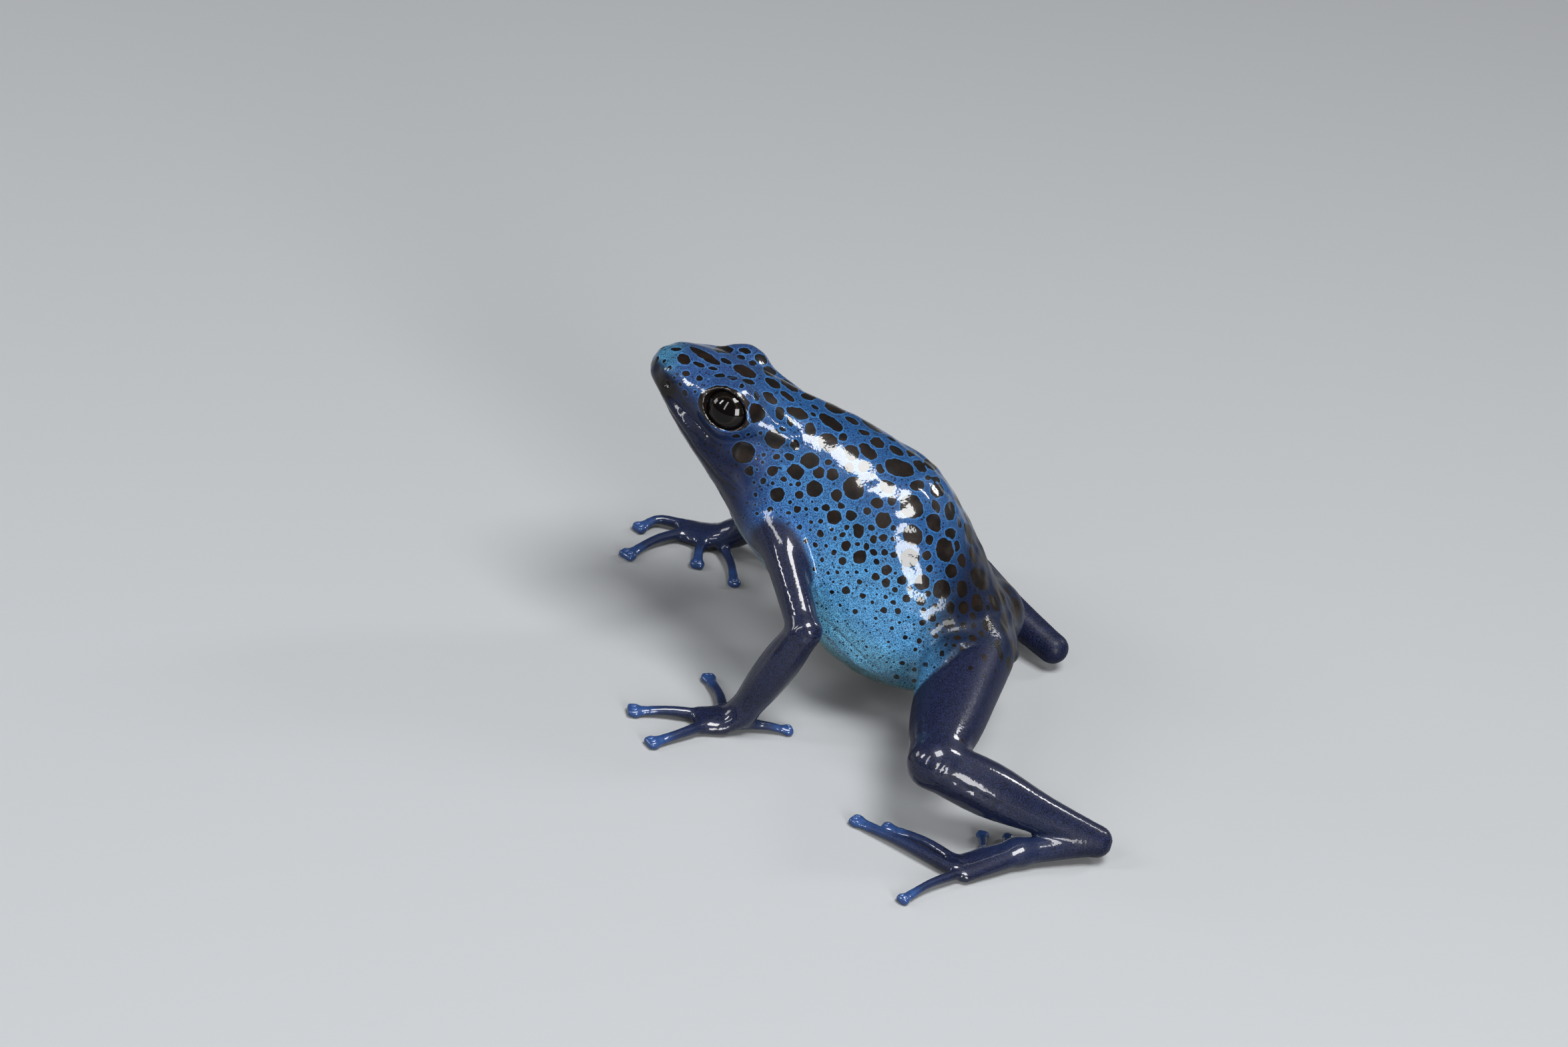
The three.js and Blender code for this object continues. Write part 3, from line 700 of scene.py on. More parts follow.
readSpots = {
    "head top": (
        (1013, 523, 0.52, 0.17, 0), (1024, 538, 0.58, 0.5, 40), (1056, 533, 1.55, 0.34, 31),
        (1048, 546, 0.52, 0.22, 20), (1068, 552, 0.4, 0.14, 10), (1084, 524, 0.84, 0.4, 5),
        (1088, 541, 0.58, 0.2, 28), (1116, 556, 1.1, 0.46, 25), (1116, 526, 0.56, 0.27, 10),
        (1110, 535, 0.35, 0.25, 0), (1128, 544, 0.35, 0.25, 0), (1140, 538, 0.6, 0.42, 45),
        (1153, 557, 0.6, 0.42, 40), (1158, 574, 0.75, 0.35, 30), (1183, 577, 0.93, 0.35, 35),
        (1211, 594, 0.64, 0.35, 10), (1195, 619, 1.0, 0.46, 25), (1180, 594, 0.7, 0.24, 35),
        (1153, 596, 0.75, 0.35, 40), (1133, 593, 0.46, 0.24, 80), (1122, 572, 0.58, 0.22, 15),
        (1097, 566, 0.52, 0.18, 10), (1079, 563, 0.5, 0.2, 0), (1112, 577, 0.24, 0.22, 0),
        (1168, 619, 0.58, 0.38, 80), (1184, 632, 0.5, 0.28, 70), (1048, 567, 0.32, 0.26, 0),
        (1027, 559, 0.34, 0.3, 0),
    ),
    "side of the head": (
        (1087, 613, 2.42, 1.8, 27), (1130, 619, 0.95, 0.82, 0),
        (1113, 678, 1.0, 0.95, 0), (1161, 657, 0.9, 0.86, 0), (1172, 645, 0.36, 0.34, 0),
        (1139, 649, 0.2, 0.18, 0), (1103, 653, 0.34, 0.18, 0), (1123, 706, 0.42, 0.4, 0),
        (1157, 705, 0.46, 0.42, 0), (1182, 684, 0.46, 0.34, 15), (1163, 684, 0.34, 0.3, 0),
        (1144, 681, 0.22, 0.2, 0), (1172, 701, 0.3, 0.22, 80), (1133, 703, 0.17, 0.17, 0),
        (1192, 706, 0.7, 0.68, 0), (1191, 667, 0.52, 0.4, 80), (1165, 741, 0.64, 0.62, 0),
        (1174, 718, 0.32, 0.3, 0), (1154, 762, 0.3, 0.26, 0), (1181, 769, 0.24, 0.18, 0),
    ),
    "shoulder and back": (
        (1214, 643, 0.62, 0.52, 70), (1240, 662, 0.86, 0.76, 40), (1245, 633, 1.2, 0.48, 35),
        (1251, 611, 0.98, 0.5, 20), (1263, 655, 0.42, 0.38, 0), (1276, 678, 0.75, 0.66, 50),
        (1300, 676, 0.9, 0.52, 40), (1314, 663, 0.62, 0.46, 20), (1294, 648, 0.54, 0.22, 20),
        (1295, 699, 0.55, 0.5, 0), (1318, 703, 0.42, 0.38, 60), (1347, 701, 1.36, 0.76, 15),
        (1343, 675, 0.68, 0.34, 35), (1364, 679, 0.44, 0.26, 30), (1378, 698, 0.7, 0.4, 45),
        (1393, 696, 0.7, 0.4, 30), (1374, 727, 0.66, 0.5, 0), (1404, 734, 0.66, 0.62, 30),
        (1423, 765, 0.82, 0.52, 90), (1213, 690, 0.8, 0.72, 0), (1241, 692, 0.36, 0.34, 0),
        (1402, 718, 0.4, 0.24, 30), (1389, 716, 0.3, 0.2, 20),
    ),
    "flank": (
        (1279, 732, 1.02, 0.9, 70), (1221, 732, 0.72, 0.7, 0), (1253, 742, 0.5, 0.48, 0),
        (1197, 741, 0.36, 0.34, 0), (1196, 726, 0.27, 0.25, 0), (1227, 709, 0.54, 0.5, 0),
        (1247, 710, 0.54, 0.52, 0), (1173, 700, 0.3, 0.2, 90), (1314, 753, 0.54, 0.5, 0),
        (1299, 766, 0.36, 0.34, 0), (1323, 779, 0.74, 0.7, 0), (1275, 772, 0.48, 0.46, 0),
        (1250, 775, 0.62, 0.6, 0), (1237, 760, 0.36, 0.34, 0), (1222, 763, 0.24, 0.22, 0),
        (1286, 795, 0.64, 0.52, 80), (1267, 817, 0.44, 0.42, 0), (1288, 834, 0.6, 0.58, 0),
        (1308, 808, 0.34, 0.26, 90), (1338, 807, 0.3, 0.28, 0), (1261, 801, 0.27, 0.25, 0),
        (1305, 790, 0.32, 0.28, 0), (1339, 831, 0.3, 0.28, 0), (1325, 827, 0.3, 0.28, 0),
        (1298, 818, 0.28, 0.2, 90), (1231, 838, 0.26, 0.22, 90), (1251, 806, 0.26, 0.2, 90),
        (1229, 781, 0.22, 0.2, 0), (1246, 793, 0.22, 0.2, 0), (1367, 801, 0.95, 0.8, 60),
        (1338, 791, 0.3, 0.28, 0),
    ),
    "rump": (
        (1415, 823, 1.05, 0.8, 80), (1424, 799, 0.5, 0.46, 0), (1433, 818, 0.46, 0.24, 90),
        (1441, 882, 0.76, 0.5, 90), (1467, 867, 1.12, 0.68, 60), (1424, 910, 0.58, 0.36, 90),
        (1480, 934, 0.62, 0.46, 90), (1505, 932, 0.87, 0.4, 90), (1392, 851, 0.4, 0.3, 90),
        (1443, 937, 0.28, 0.26, 0), (1458, 937, 0.27, 0.22, 90), (1494, 965, 0.4, 0.28, 90),
        (1474, 986, 0.3, 0.25, 90), (1453, 1000, 0.22, 0.2, 0), (1400, 908, 0.26, 0.24, 0),
    ),
    "groin": (
        (1282, 916, 0.24, 0.22, 0), (1401, 952, 0.27, 0.25, 0), (1376, 959, 0.27, 0.2, 90),
        (1371, 973, 0.21, 0.2, 0), (1346, 969, 0.17, 0.15, 0), (1411, 978, 0.3, 0.24, 90),
        (1386, 995, 0.23, 0.22, 0), (1370, 1002, 0.23, 0.2, 0), (1351, 993, 0.26, 0.2, 0),
        (1343, 1014, 0.28, 0.22, 0), (1369, 1019, 0.22, 0.2, 0), (1416, 965, 0.15, 0.14, 0),
    ),
}
grownSpots = {
    # Radii and gaps in mm, and how much the radii vary
    "seed": 4, "tries": 26000, "gap": 0.17, "lowGap": 0.42, "headGap": 0.2, "spread": 0.36,
    "back": 0.62, "flank": 0.12, "belly": 0.09, "limb": 0.2, "limbShare": 0.012, "head": 0.35,
    "smallest": 0.08, "largest": 1.1, "line": 0.17, "above": 2.6, "lowMissing": 0.955,
    "within": 0.6, "far": 2.0,
    # Where each rule starts and is full, up the trunk, along it and on the limbs
    "flankEnds": (-0.7, 0.0), "backEnds": (0.1, 0.85), "missingEnds": (-0.2, 0.15),
    "lowGapEnds": (-0.4, 0.1), "headTo": 0.3, "limbFrom": 0.3,
}
# How far round a read spot its mark is worked out, in its half lengths and mm, and on which skin
readReach = {"halves": 3, "margin": 1, "facing": -0.1}
# How many mm nearer a limb's own surface is than the trunk's where its colour starts and is full
limbEnds = (-0.45, 0.4)
# Where the belly's colour ends on each thigh: mm from the hip along it, and more towards the belly
groin = {
    "at": 3.4, "slant": 1.55, "half": 0.3, "reach": 12,
    "depths": (-3, -1.5),  # inside the trunk, where the thigh's colour starts and is full
    "dryFrom": (-0.5, 0.5), "dryEnds": (12.5, 15.5),  # dry from that line until it fades near the knee
}

trunkTree = treeOf(trunkSkin)
nearest = np.array([trunkTree.find(p)[1] for p in skin])
roundBody = np.sin(trunkAngle[nearest])  # 1 along the back, 0 where the trunk is widest, -1 below
alongBody = trunkAt[nearest] / trunkKnots[-1]
limbShare = share(sample(trunkField, skin) - sample(limbField, skin), *limbEnds)
dryShare = np.zeros(len(skin))
for side in limbs:
    hip, knee = (np.array(limbs[side][name]) for name in ("hip", "knee"))
    thigh = unit(knee - hip)
    toBelly = unit(thigh[0] * thigh - (1, 0, 0))
    along = (skin - hip) @ thigh
    past = along - groin["at"] - groin["slant"] * ((skin - hip) @ toBelly)
    away = np.linalg.norm(skin - hip, axis=1)
    onThigh = share(past, -groin["half"], groin["half"]) * share(sample(trunkField, skin), *groin["depths"])
    limbShare = np.where(away < groin["reach"], onThigh, limbShare)
    dry = share(past, *groin["dryFrom"]) * share(-away, *(-end for end in reversed(groin["dryEnds"])))
    dryShare = np.maximum(dryShare, dry * limbShare)
facing = normals @ cameraBack


def addMark(near, away):  # keeps each point's distance to its nearest mark and to the next one
    marks[1, near] = np.clip(away, marks[0, near], marks[1, near])
    marks[0, near] = np.minimum(marks[0, near], away)


def readMarks():
    kept = []
    for group, rows in readSpots.items():
        for x, y, half, narrow, turn in rows:
            place = seenPlace(x, y)
            if place is None:
                print("no skin at", group, x, y)
                continue
            turn = math.radians(turn)
            long = math.cos(turn) * cameraAcross - math.sin(turn) * cameraOver
            short = math.sin(turn) * cameraAcross + math.cos(turn) * cameraOver
            reach = readReach["halves"] * half + readReach["margin"]
            inReach = np.linalg.norm(skin - place, axis=1) < reach
            near = np.nonzero(inReach & (facing > readReach["facing"]))[0]
            away = skin[near] - place
            u, v = away @ long, away @ short
            q = np.hypot(u / half, v / narrow) + tiny
            addMark(near, np.hypot(u, v) * (1 - 1 / q))
            kept.append((*place, half))
    return kept


def growMarks(kept):
    rule = grownSpots
    random = np.random.default_rng(rule["seed"])
    tries = random.choice(len(skin), rule["tries"], replace=False)
    up = roundBody[tries]
    size = rule["belly"] + (rule["flank"] - rule["belly"]) * share(up, *rule["flankEnds"])
    size = size + (rule["back"] - size) * share(up, *rule["backEnds"])
    onHead = alongBody[tries] < rule["headTo"]
    size *= np.where(onHead, rule["head"], 1)
    onLimb = limbShare[tries] > rule["limbFrom"]
    size = np.where(onLimb, rule["limb"], size) * random.lognormal(0, rule["spread"], len(tries))
    bare = (random.random(len(tries)) > rule["limbShare"]) | (skin[tries, 2] < rule["above"])
    missing = rule["lowMissing"] * share(-up, *rule["missingEnds"])
    bare = onLimb & bare | (random.random(len(tries)) < missing)
    size = np.minimum(np.where(bare, 0, size), rule["largest"])
    gap = rule["gap"] + rule["lowGap"] * share(-up, *rule["lowGapEnds"]) + rule["headGap"] * onHead
    order = np.argsort(-size)
    spots = np.zeros((len(kept) + len(tries), 4))
    spots[: len(kept)] = kept
    count = len(kept)
    for i in order:
        if size[i] < rule["smallest"]:
            break
        place = skin[tries[i]]
        away = np.linalg.norm(spots[:count, :3] - place, axis=1) - spots[:count, 3]
        if min(away.min(), marks[0, tries[i]]) < size[i] + gap[i]:
            continue
        spots[count] = (*place, size[i])
        count += 1
    grown = spots[len(kept) : count]
    for x, y, z, radius in grown:
        near = np.nonzero(np.abs(skin - (x, y, z)).max(1) < radius + rule["within"])[0]
        addMark(near, np.linalg.norm(skin[near] - (x, y, z), axis=1) - radius)
    return len(grown)


marks = np.full((2, len(skin)), grownSpots["far"])
kept = readMarks()
grown = growMarks(kept)
# Neighbours never run together: a thin pale line is left between them
markEdge = np.maximum(marks[0], (grownSpots["line"] - (marks[1] - marks[0])) / 2)
print("marks", len(kept), "read and", grown, "grown")

shades = {
    # How much of the tips' colour shows, and how far from a tip it starts and is full
    "tips": ((0.2, 6, 2), (0.8, 2.3, 0.7)),
    # Painted shade along the mouth line, round the nostrils and in the grooves behind the discs; the
    # near-black on the cheeks, throat and rump is partly the skin's own colour and partly painted shade
    "mouth": 0.5, "mouthHalf": 0.13, "nostrilPatch": (-13.0, 24.4), "patchEnds": (1.5, 0.6), "nostrilShade": 0.96,
    "groove": 0.3, "cheekHeights": (4.0, 1.8), "cheekFrom": (1.5, 6.0), "cheekBelow": (0.75, 0.35),
    "dryRump": 0.75, "rumpFrom": (0.69, 0.78), "rumpAbove": (-0.3, 0.3), "ventFrom": (0.84, 0.92),
}
tipShare = np.zeros(len(skin))
for p, s, d in allDigits():
    away = np.linalg.norm(skin - p[-1], axis=1)
    near = sum(part * share(-away, -start, -full) for part, start, full in shades["tips"])
    tipShare = np.maximum(tipShare, near)
at = headPlace(skin)
# Painted shade along the mouth line and in a patch round the nostrils
mouth = bell(aboveMouth(skin), shades["mouthHalf"]) * share(-at[:, 0], *forms["lip"]["ends"])
away = np.linalg.norm(at[:, ::2] - shades["nostrilPatch"], axis=1)
nostrilShade = shades["nostrilShade"] * share(-away, *(-end for end in shades["patchEnds"]))
# Near-black on the lower cheeks and throat and on the rump and vent: partly the skin's own darker colour,
# partly painted shade where these parts face down or away from the light
aboveJaw = at[:, 2] - np.interp(at[:, 0], *np.array(mouthLine).T)
headDarkAndShade = share(-aboveJaw, *(-height for height in shades["cheekHeights"]))
headDarkAndShade *= share(-at[:, 0], *shades["cheekFrom"])
headDarkAndShade *= share(-roundBody, *(-height for height in shades["cheekBelow"]))
rumpDarkAndShade = share(alongBody, *shades["rumpFrom"]) * share(roundBody, *shades["rumpAbove"])
rumpDarkAndShade = np.maximum(rumpDarkAndShade, share(alongBody, *shades["ventFrom"]))
attributes = {
    "mark": markEdge, "limb": limbShare, "tip": tipShare, "above": roundBody, "along": alongBody,
    "line": np.maximum(np.maximum(shades["mouth"] * mouth, nostrilShade), shades["groove"] * grooveShare(skin)),
    "darkPigmentAndShade": np.maximum(headDarkAndShade, rumpDarkAndShade), "dry": np.maximum(dryShare, shades["dryRump"] * rumpDarkAndShade),
}
for name, values in attributes.items():
    skinMesh.attributes.new(name, "FLOAT", "POINT").data.foreach_set("value", values.astype(np.float32))
skinPiece = newObject("skin", skinMesh)


def makeEye(side, way):
    centre = eyeCentres[side]
    gaze = gazeOf(way)
    shape = bmesh.new()
    around, high = eye["segments"]
    bmesh.ops.create_uvsphere(shape, u_segments=around, v_segments=high, radius=eye["radius"])
    turn = Vector((0, 0, 1)).rotation_difference(Vector(gaze)).to_matrix()
    bmesh.ops.transform(shape, matrix=turn.to_4x4(), verts=shape.verts)
    mesh = bpy.data.meshes.new("eyeball_" + side)
    shape.to_mesh(mesh)
    shape.free()
    local = np.array([v.co for v in mesh.vertices])
    offAxis = np.degrees(np.arccos(np.clip(local @ gaze / eye["radius"], -1, 1)))
    mesh.vertices.foreach_set("co", toFrame(local + centre).astype(np.float32).ravel())
    mesh.attributes.new("offAxis", "FLOAT", "POINT").data.foreach_set("value", offAxis.astype(np.float32))
    mesh.shade_smooth()
    return newObject("eyeball_" + side, mesh)


eyePieces = {side: makeEye(side, way) for side, way in sides.items()}
print("eyes")

# Materials


def colour(text):  # sRGB hex to linear
    parts = [int(text[i : i + 2], 16) / 255 for i in (1, 3, 5)]
    return (*[c / 12.92 if c <= 0.04045 else ((c + 0.055) / 1.055) ** 2.4 for c in parts], 1)


def add(tree, kind, inputs=None, **settings):
    made = tree.nodes.new(kind)
    for name, value in settings.items():
        setattr(made, name, value)
    for key, value in (inputs or {}).items():
        if isinstance(value, bpy.types.NodeSocket):
            tree.links.new(value, made.inputs[key])
        else:
            made.inputs[key].default_value = value
    return made


def blankMaterial(name):  # with its node tree and its shader
    material = bpy.data.materials.new(name)
    material.use_nodes = True
    return material, material.node_tree, material.node_tree.nodes["Principled BSDF"]


skinLook = {
    "tints": {
        # The near-black tint for the cheeks, throat and rump stands partly for the skin's own colour and
        # partly for painted shade
        "back": "#12365b", "flank": "#386a8f", "pale": "#4c829f", "shoulder": "#21446e", "jaw": "#0b1f44",
        "belly": "#3a6b6c", "head": "#1b3254", "snout": "#2c556c", "darkPigmentAndShade": "#030409", "halo": "#356490",
        "stipple": "#080e24", "mark": "#040201", "markBrown": "#110905", "limb": "#030409",
        "limbSpeck": "#151a33", "tip": "#182c50",
    },
    "noises": {"grains": 0.085, "drift": 1.6, "wobble": 0.7, "ripple": 0.6},  # sizes in mm
    "cells": {"dots": 0.46, "granules": 0.26},
    "detail": 2.0, "sway": 0.085, "swayFrom": (0.3, 0.7),
    # How far each layer shows: what it is read from, where it starts and where it is full
    "shares": {
        "low": ("above", 0.75, 0.0), "high": ("above", 0.25, 0.75), "side": ("above", 0.0, -0.35),
        "mid": ("above", 0.85, 0.35), "under": ("above", -0.5, -0.8),
        "fore": ("along", 0.56, 0.42), "neck": ("along", 0.4, 0.27), "front": ("along", 0.3, 0.2),
        "nose": ("along", 0.1, 0.05), "rim": ("edge", 0.16, 0.03), "clear": ("edge", 0.0, 0.1),
        "grained": ("grains", 0.45, 0.55), "dot": ("dots", 0.26, 0.19), "open": ("edge", 0.1, 0.2),
        "brown": ("drift", 0.4, 0.65), "inside": ("edge", 0.03, -0.03),
    },
    # From the deepest up: tint, what it is multiplied from, and how much of it at most
    "layers": (
        ("flank", ("low",), 1), ("pale", ("side",), 1), ("shoulder", ("low", "fore"), 1),
        ("jaw", ("mid", "neck"), 1), ("belly", ("under",), 1), ("head", ("high", "front"), 1),
        ("snout", ("high", "nose"), 1), ("halo", ("rim",), 0.22), ("darkPigmentAndShade", ("darkPigmentAndShade",), 0.95),
        ("stipple", ("clear", "grained"), 0.78),
        ("mark", ("dot", "open"), 0.9), ("limb", ("limb",), 1), ("limbSpeck", ("limb", "grained"), 0.7),
        ("tip", ("tip",), 0.9), ("mark", ("inside",), 1), ("markBrown", ("inside", "brown"), 0.7),
        # the marks' near-black, painted as shade into the mouth line, round the nostrils and into the
        # grooves behind the discs
        ("mark", ("line",), 1),
    ),
    "relief": 0.02, "bump": 0.34, "limbBump": -0.2, "dryBump": 0.3,
    "roughness": 0.45, "specular": 0.08, "coat": 0.8, "dryCoat": -0.78, "coatRoughness": 0.07,
    "coatIor": 1.35,
}


def wetSkin():
    # Moist living skin: fine granules under a film of water. The film gives hard white glints that
    # the granules break up, and the colour below stays deep.
    look = skinLook
    tints = {name: colour(text) for name, text in look["tints"].items()}
    material, tree, shader = blankMaterial("moist granular skin")
    place = add(tree, "ShaderNodeTexCoord").outputs["Object"]
    read = {}
    for name in attributes:
        read[name] = add(tree, "ShaderNodeAttribute", attribute_name=name).outputs["Fac"]
    for name, size in look["noises"].items():
        inputs = {"Vector": place, "Scale": 1 / (size * millimetre), "Detail": look["detail"]}
        read[name] = add(tree, "ShaderNodeTexNoise", inputs).outputs["Fac"]
    for name, size in look["cells"].items():
        inputs = {"Vector": place, "Scale": 1 / (size * millimetre)}
        read[name] = add(tree, "ShaderNodeTexVoronoi", inputs).outputs["Distance"]
    start, full = look["swayFrom"]
    reach = {"From Min": start, "From Max": full, "To Min": -look["sway"], "To Max": look["sway"]}
    sway = add(tree, "ShaderNodeMapRange", {"Value": read["wobble"], **reach})
    read["edge"] = add(tree, "ShaderNodeMath", {0: read["mark"], 1: sway.outputs["Result"]}).outputs[0]
    for name, (source, start, full) in look["shares"].items():
        inputs = {"Value": read[source], "From Min": start, "From Max": full}
        made = add(tree, "ShaderNodeMapRange", inputs, interpolation_type="SMOOTHSTEP")
        read[name] = made.outputs["Result"]
    base = tints["back"]
    for tint, factors, amount in look["layers"]:
        for factor in factors:
            inputs = {0: read[factor], 1: amount}
            amount = add(tree, "ShaderNodeMath", inputs, operation="MULTIPLY").outputs[0]
        base = add(tree, "ShaderNodeMix", {0: amount, 6: base, 7: tints[tint]}, data_type="RGBA").outputs[2]
    tree.links.new(base, shader.inputs["Base Color"])

    # The granules that break up the glints, weaker on the smooth limbs, stronger on the dry thighs and rump
    rise = add(tree, "ShaderNodeMath", {0: read["ripple"], 1: read["granules"]}, operation="SUBTRACT")
    inputs = {0: read["limb"], 1: look["limbBump"], 2: look["bump"]}
    wet = add(tree, "ShaderNodeMath", inputs, operation="MULTIPLY_ADD")
    inputs = {0: read["dry"], 1: look["dryBump"], 2: wet.outputs[0]}
    strength = add(tree, "ShaderNodeMath", inputs, operation="MULTIPLY_ADD")
    inputs = {
        "Height": rise.outputs[0], "Strength": strength.outputs[0], "Distance": look["relief"] * millimetre,
    }
    bump = add(tree, "ShaderNodeBump", inputs)
    tree.links.new(bump.outputs["Normal"], shader.inputs["Normal"])
    tree.links.new(bump.outputs["Normal"], shader.inputs["Coat Normal"])
    inputs = {0: read["dry"], 1: look["dryCoat"], 2: look["coat"]}
    film = add(tree, "ShaderNodeMath", inputs, operation="MULTIPLY_ADD")
    tree.links.new(film.outputs[0], shader.inputs["Coat Weight"])
    shader.inputs["Roughness"].default_value = look["roughness"]
    shader.inputs["Specular IOR Level"].default_value = look["specular"]
    shader.inputs["Coat Roughness"].default_value = look["coatRoughness"]
    shader.inputs["Coat IOR"].default_value = look["coatIor"]  # mucus, a little denser than water
    return material


scuteLook = {"tint": "#1f3764", "grain": 0.12, "relief": 0.008, "roughness": 0.4}


def scuteSkin():
    # Hard smooth skin of the disc plates: paler than the digits, with one clean glint on each.
    material, tree, shader = blankMaterial("smooth disc scute skin")
    place = add(tree, "ShaderNodeTexCoord").outputs["Object"]
    inputs = {"Vector": place, "Scale": 1 / (scuteLook["grain"] * millimetre)}
    grains = add(tree, "ShaderNodeTexNoise", inputs).outputs["Fac"]
    inputs = {0: grains, 6: colour(scuteLook["tint"]), 7: colour(skinLook["tints"]["tip"])}
    tint = add(tree, "ShaderNodeMix", inputs, data_type="RGBA")
    tree.links.new(tint.outputs[2], shader.inputs["Base Color"])
    bump = add(tree, "ShaderNodeBump", {"Height": grains, "Distance": scuteLook["relief"] * millimetre})
    tree.links.new(bump.outputs["Normal"], shader.inputs["Normal"])
    shader.inputs["Roughness"].default_value = scuteLook["roughness"]
    shader.inputs["Coat Weight"].default_value = skinLook["coat"]
    shader.inputs["Coat Roughness"].default_value = skinLook["coatRoughness"]
    return material


rightAngle = 90.0
eyeLook = {
    "pupil": "#040303", "fibre": 0.2, "fibreDetail": 4.0,
    # Each ring's colour, by the angle in degrees from where the eye looks
    "rings": ((28, "#020202"), (31, "#1c1712"), (35, "#0a0806"), (52, "#050403"), (60, "#0d0b08")),
    "roughness": 0.12, "specular": 0.03, "coat": 0.5, "coatRoughness": 0.02, "coatIor": 1.376,
}


def wetEye():
    # A living eye: a near black brown iris with a thin paler ring round the pupil, under a clear wet
    # cornea that mirrors the lights sharply.
    look = eyeLook
    material, tree, shader = blankMaterial("wet cornea over a dark iris")
    angle = add(tree, "ShaderNodeAttribute", attribute_name="offAxis").outputs["Fac"]
    place = add(tree, "ShaderNodeTexCoord").outputs["Object"]
    inputs = {"Vector": place, "Scale": 1 / (look["fibre"] * millimetre), "Detail": look["fibreDetail"]}
    fibres = add(tree, "ShaderNodeTexNoise", inputs)
    turn = add(tree, "ShaderNodeMath", {0: angle, 1: rightAngle}, operation="DIVIDE")
    rings = add(tree, "ShaderNodeValToRGB", {"Fac": turn.outputs[0]})
    stops = rings.color_ramp.elements
    stops[0].color = stops[1].color = colour(look["pupil"])
    stops[1].position = look["rings"][0][0] / rightAngle
    for degrees, text in look["rings"]:
        stops.new(degrees / rightAngle).color = colour(text)
    inputs = {0: fibres.outputs["Fac"], 6: rings.outputs["Color"], 7: colour(look["pupil"])}
    tint = add(tree, "ShaderNodeMix", inputs, data_type="RGBA")
    tree.links.new(tint.outputs[2], shader.inputs["Base Color"])
    shader.inputs["Roughness"].default_value = look["roughness"]
    shader.inputs["Specular IOR Level"].default_value = look["specular"]
    shader.inputs["Coat Weight"].default_value = look["coat"]
    shader.inputs["Coat Roughness"].default_value = look["coatRoughness"]
    shader.inputs["Coat IOR"].default_value = look["coatIor"]  # cornea
    return material


skinMesh.materials.append(wetSkin())
eyeMaterial = wetEye()
for piece in eyePieces.values():
    piece.data.materials.append(eyeMaterial)
print("materials")

# Scutes: a pair of small plates on every disc, set on the skin by a node tree

scutes = {
    # In shares of the disc's half width, apart from the height and depth, in mm
    "length": 0.34, "width": 0.27, "apart": 0.31, "forward": 0.34, "height": 0.06, "sunk": 0.015,
    "dropFrom": 3,  # mm over the disc from which each is set down on it
    "subdivisions": 3,
}


def scutePoints():  # a point for each scute, with its disc's half width and its turn
    places, sizes, turns = [], [], []
    for p, s, d in allDigits():
        along, across, over = discAxes(p)
        for way in (-1, 1):
            start = p[-1] + along * scutes["forward"] * d + across * way * scutes["apart"] * d
            start = start + over * scutes["dropFrom"]
            hit, normal, *rest = surface.ray_cast(Vector(start), Vector(-over))
            normal = np.array(normal) * math.copysign(1, normal[2])
            length = unit(along - normal * (along @ normal))
            turn = Matrix([length, np.cross(normal, length), normal]).transposed()
            places.append(toFrame(np.array(hit) - normal * scutes["sunk"]))
            sizes.append(d)
            turns.append(turn.to_euler())
    mesh = bpy.data.meshes.new("scutes")
    mesh.from_pydata(places, [], [])
    mesh.attributes.new("size", "FLOAT", "POINT").data.foreach_set("value", sizes)
    mesh.attributes.new("turn", "FLOAT_VECTOR", "POINT").data.foreach_set("vector", np.array(turns).ravel())
    return mesh


def scuteTree(material):
    tree = bpy.data.node_groups.new("paired scutes", "GeometryNodeTree")
    tree.interface.new_socket("Geometry", in_out="INPUT", socket_type="NodeSocketGeometry")
    tree.interface.new_socket("Geometry", in_out="OUTPUT", socket_type="NodeSocketGeometry")
    for name in ("Length", "Width", "Height"):
        tree.interface.new_socket(name, in_out="INPUT", socket_type="NodeSocketFloat")
    given = add(tree, "NodeGroupInput").outputs
    kind = "GeometryNodeInputNamedAttribute"
    size = add(tree, kind, {"Name": "size"}, data_type="FLOAT").outputs[0]
    turn = add(tree, kind, {"Name": "turn"}, data_type="FLOAT_VECTOR").outputs[0]
    long, wide = (
        add(tree, "ShaderNodeMath", {0: size, 1: given[name]}, operation="MULTIPLY").outputs[0]
        for name in ("Length", "Width")
    )
    scale = add(tree, "ShaderNodeCombineXYZ", {"X": long, "Y": wide, "Z": given["Height"]}).outputs[0]
    inputs = {"Radius": 1.0, "Subdivisions": scutes["subdivisions"]}
    plate = add(tree, "GeometryNodeMeshIcoSphere", inputs).outputs["Mesh"]
    inputs = {"Points": given["Geometry"], "Instance": plate, "Rotation": turn, "Scale": scale}
    placed = add(tree, "GeometryNodeInstanceOnPoints", inputs).outputs["Instances"]
    real = add(tree, "GeometryNodeRealizeInstances", {"Geometry": placed}).outputs["Geometry"]
    rounded = add(tree, "GeometryNodeSetShadeSmooth", {"Geometry": real}).outputs["Geometry"]
    ended = add(tree, "GeometryNodeSetMaterial", {"Geometry": rounded, "Material": material})
    add(tree, "NodeGroupOutput", {"Geometry": ended.outputs["Geometry"]})
    return tree


def makeScutes():
    piece = newObject("scutes", scutePoints())
    tree = scuteTree(scuteSkin())
    grown = piece.modifiers.new("paired scutes", "NODES")
    grown.node_group = tree
    values = {"Length": scutes["length"], "Width": scutes["width"], "Height": scutes["height"]}
    for socket in tree.interface.items_tree:
        if socket.in_out == "INPUT" and socket.name in values:
            grown[socket.identifier] = values[socket.name] * millimetre
    graph = bpy.context.evaluated_depsgraph_get()
    mesh = bpy.data.meshes.new_from_object(piece.evaluated_get(graph))
    piece.modifiers.remove(grown)
    piece.data = mesh
    return piece


scutePiece = makeScutes()
print("scutes", len(scutePiece.data.polygons))

# What each piece stands for

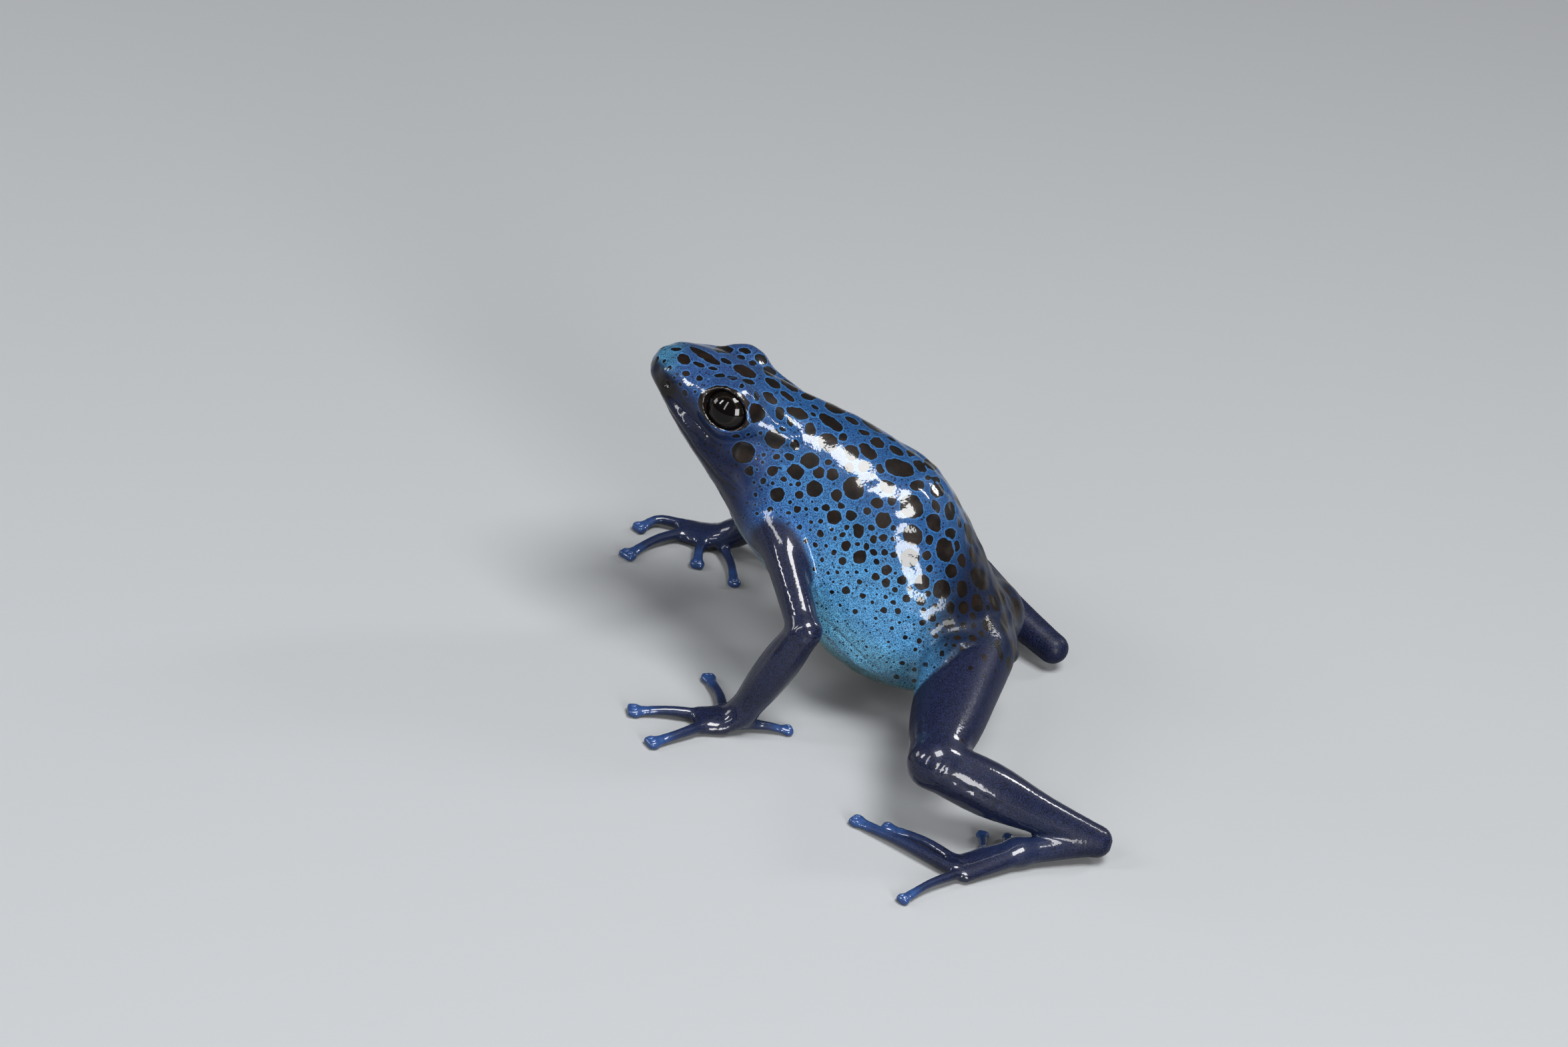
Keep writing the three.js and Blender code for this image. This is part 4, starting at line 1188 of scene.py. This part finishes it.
flesh = [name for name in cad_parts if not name.startswith("eye_")]
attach(skinPiece, "root")
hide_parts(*flesh)
for side, piece in eyePieces.items():
    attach(piece, "root")
    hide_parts("eye_" + side)
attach(scutePiece, "root")

# Floor, lights and the rest of the studio

studio = {
    "floor": "#6a6c6e", "floorRoughness": 0.8, "floorHalf": 1500, "world": "#dfe8f2", "worldStrength": 0.08,
    # Azimuth and elevation it shines from in degrees, width, height and distance in mm, watts
    "lights": {
        "overhead": (-42, 72, 240, 170, 450, 5.2),
        "right": (-55, 18, 140, 220, 450, 3.2),
        "left": (-150, 33, 50, 150, 450, 1.0),
        "front": (-117, 34, 44, 290, 450, 0.9),
        "nose": (-176, 16, 120, 120, 450, 0.6),
        "rear": (44, 33, 50, 110, 450, 0.8),
    },
}


def paintedBoard():
    # The floor: a matt grey board, a little paler than the frog.
    material, tree, shader = blankMaterial("matt painted board")
    shader.inputs["Base Color"].default_value = colour(studio["floor"])
    shader.inputs["Roughness"].default_value = studio["floorRoughness"]
    return material


def makeStudio():
    half = studio["floorHalf"] * millimetre
    corners = [(x * half, y * half, 0) for x, y in ((-1, -1), (1, -1), (1, 1), (-1, 1))]
    mesh = bpy.data.meshes.new("floor")
    mesh.from_pydata(corners, [], [range(4)])
    mesh.materials.append(paintedBoard())
    newObject("floor", mesh)
    world = bpy.data.worlds.new("studio")
    world.use_nodes = True
    world.node_tree.nodes["Background"].inputs["Color"].default_value = colour(studio["world"])
    world.node_tree.nodes["Background"].inputs["Strength"].default_value = studio["worldStrength"]
    bpy.context.scene.world = world
    bpy.context.scene.view_settings.view_transform = "Standard"
    aim = toFrame(camera["target"])
    for name, (azimuth, elevation, wide, tall, distance, watts) in studio["lights"].items():
        a, e = math.radians(azimuth), math.radians(elevation)
        direction = (math.cos(a) * math.cos(e), math.sin(a) * math.cos(e), math.sin(e))
        data = bpy.data.lights.new(name, "AREA")
        data.shape, data.size, data.size_y = "RECTANGLE", wide * millimetre, tall * millimetre
        data.energy = watts
        lamp = newObject(name, data)
        lamp.location = aim + np.array(direction) * distance * millimetre
        lamp.rotation_euler = Vector(direction).to_track_quat("Z", "Y").to_euler()


makeStudio()
print("finished")
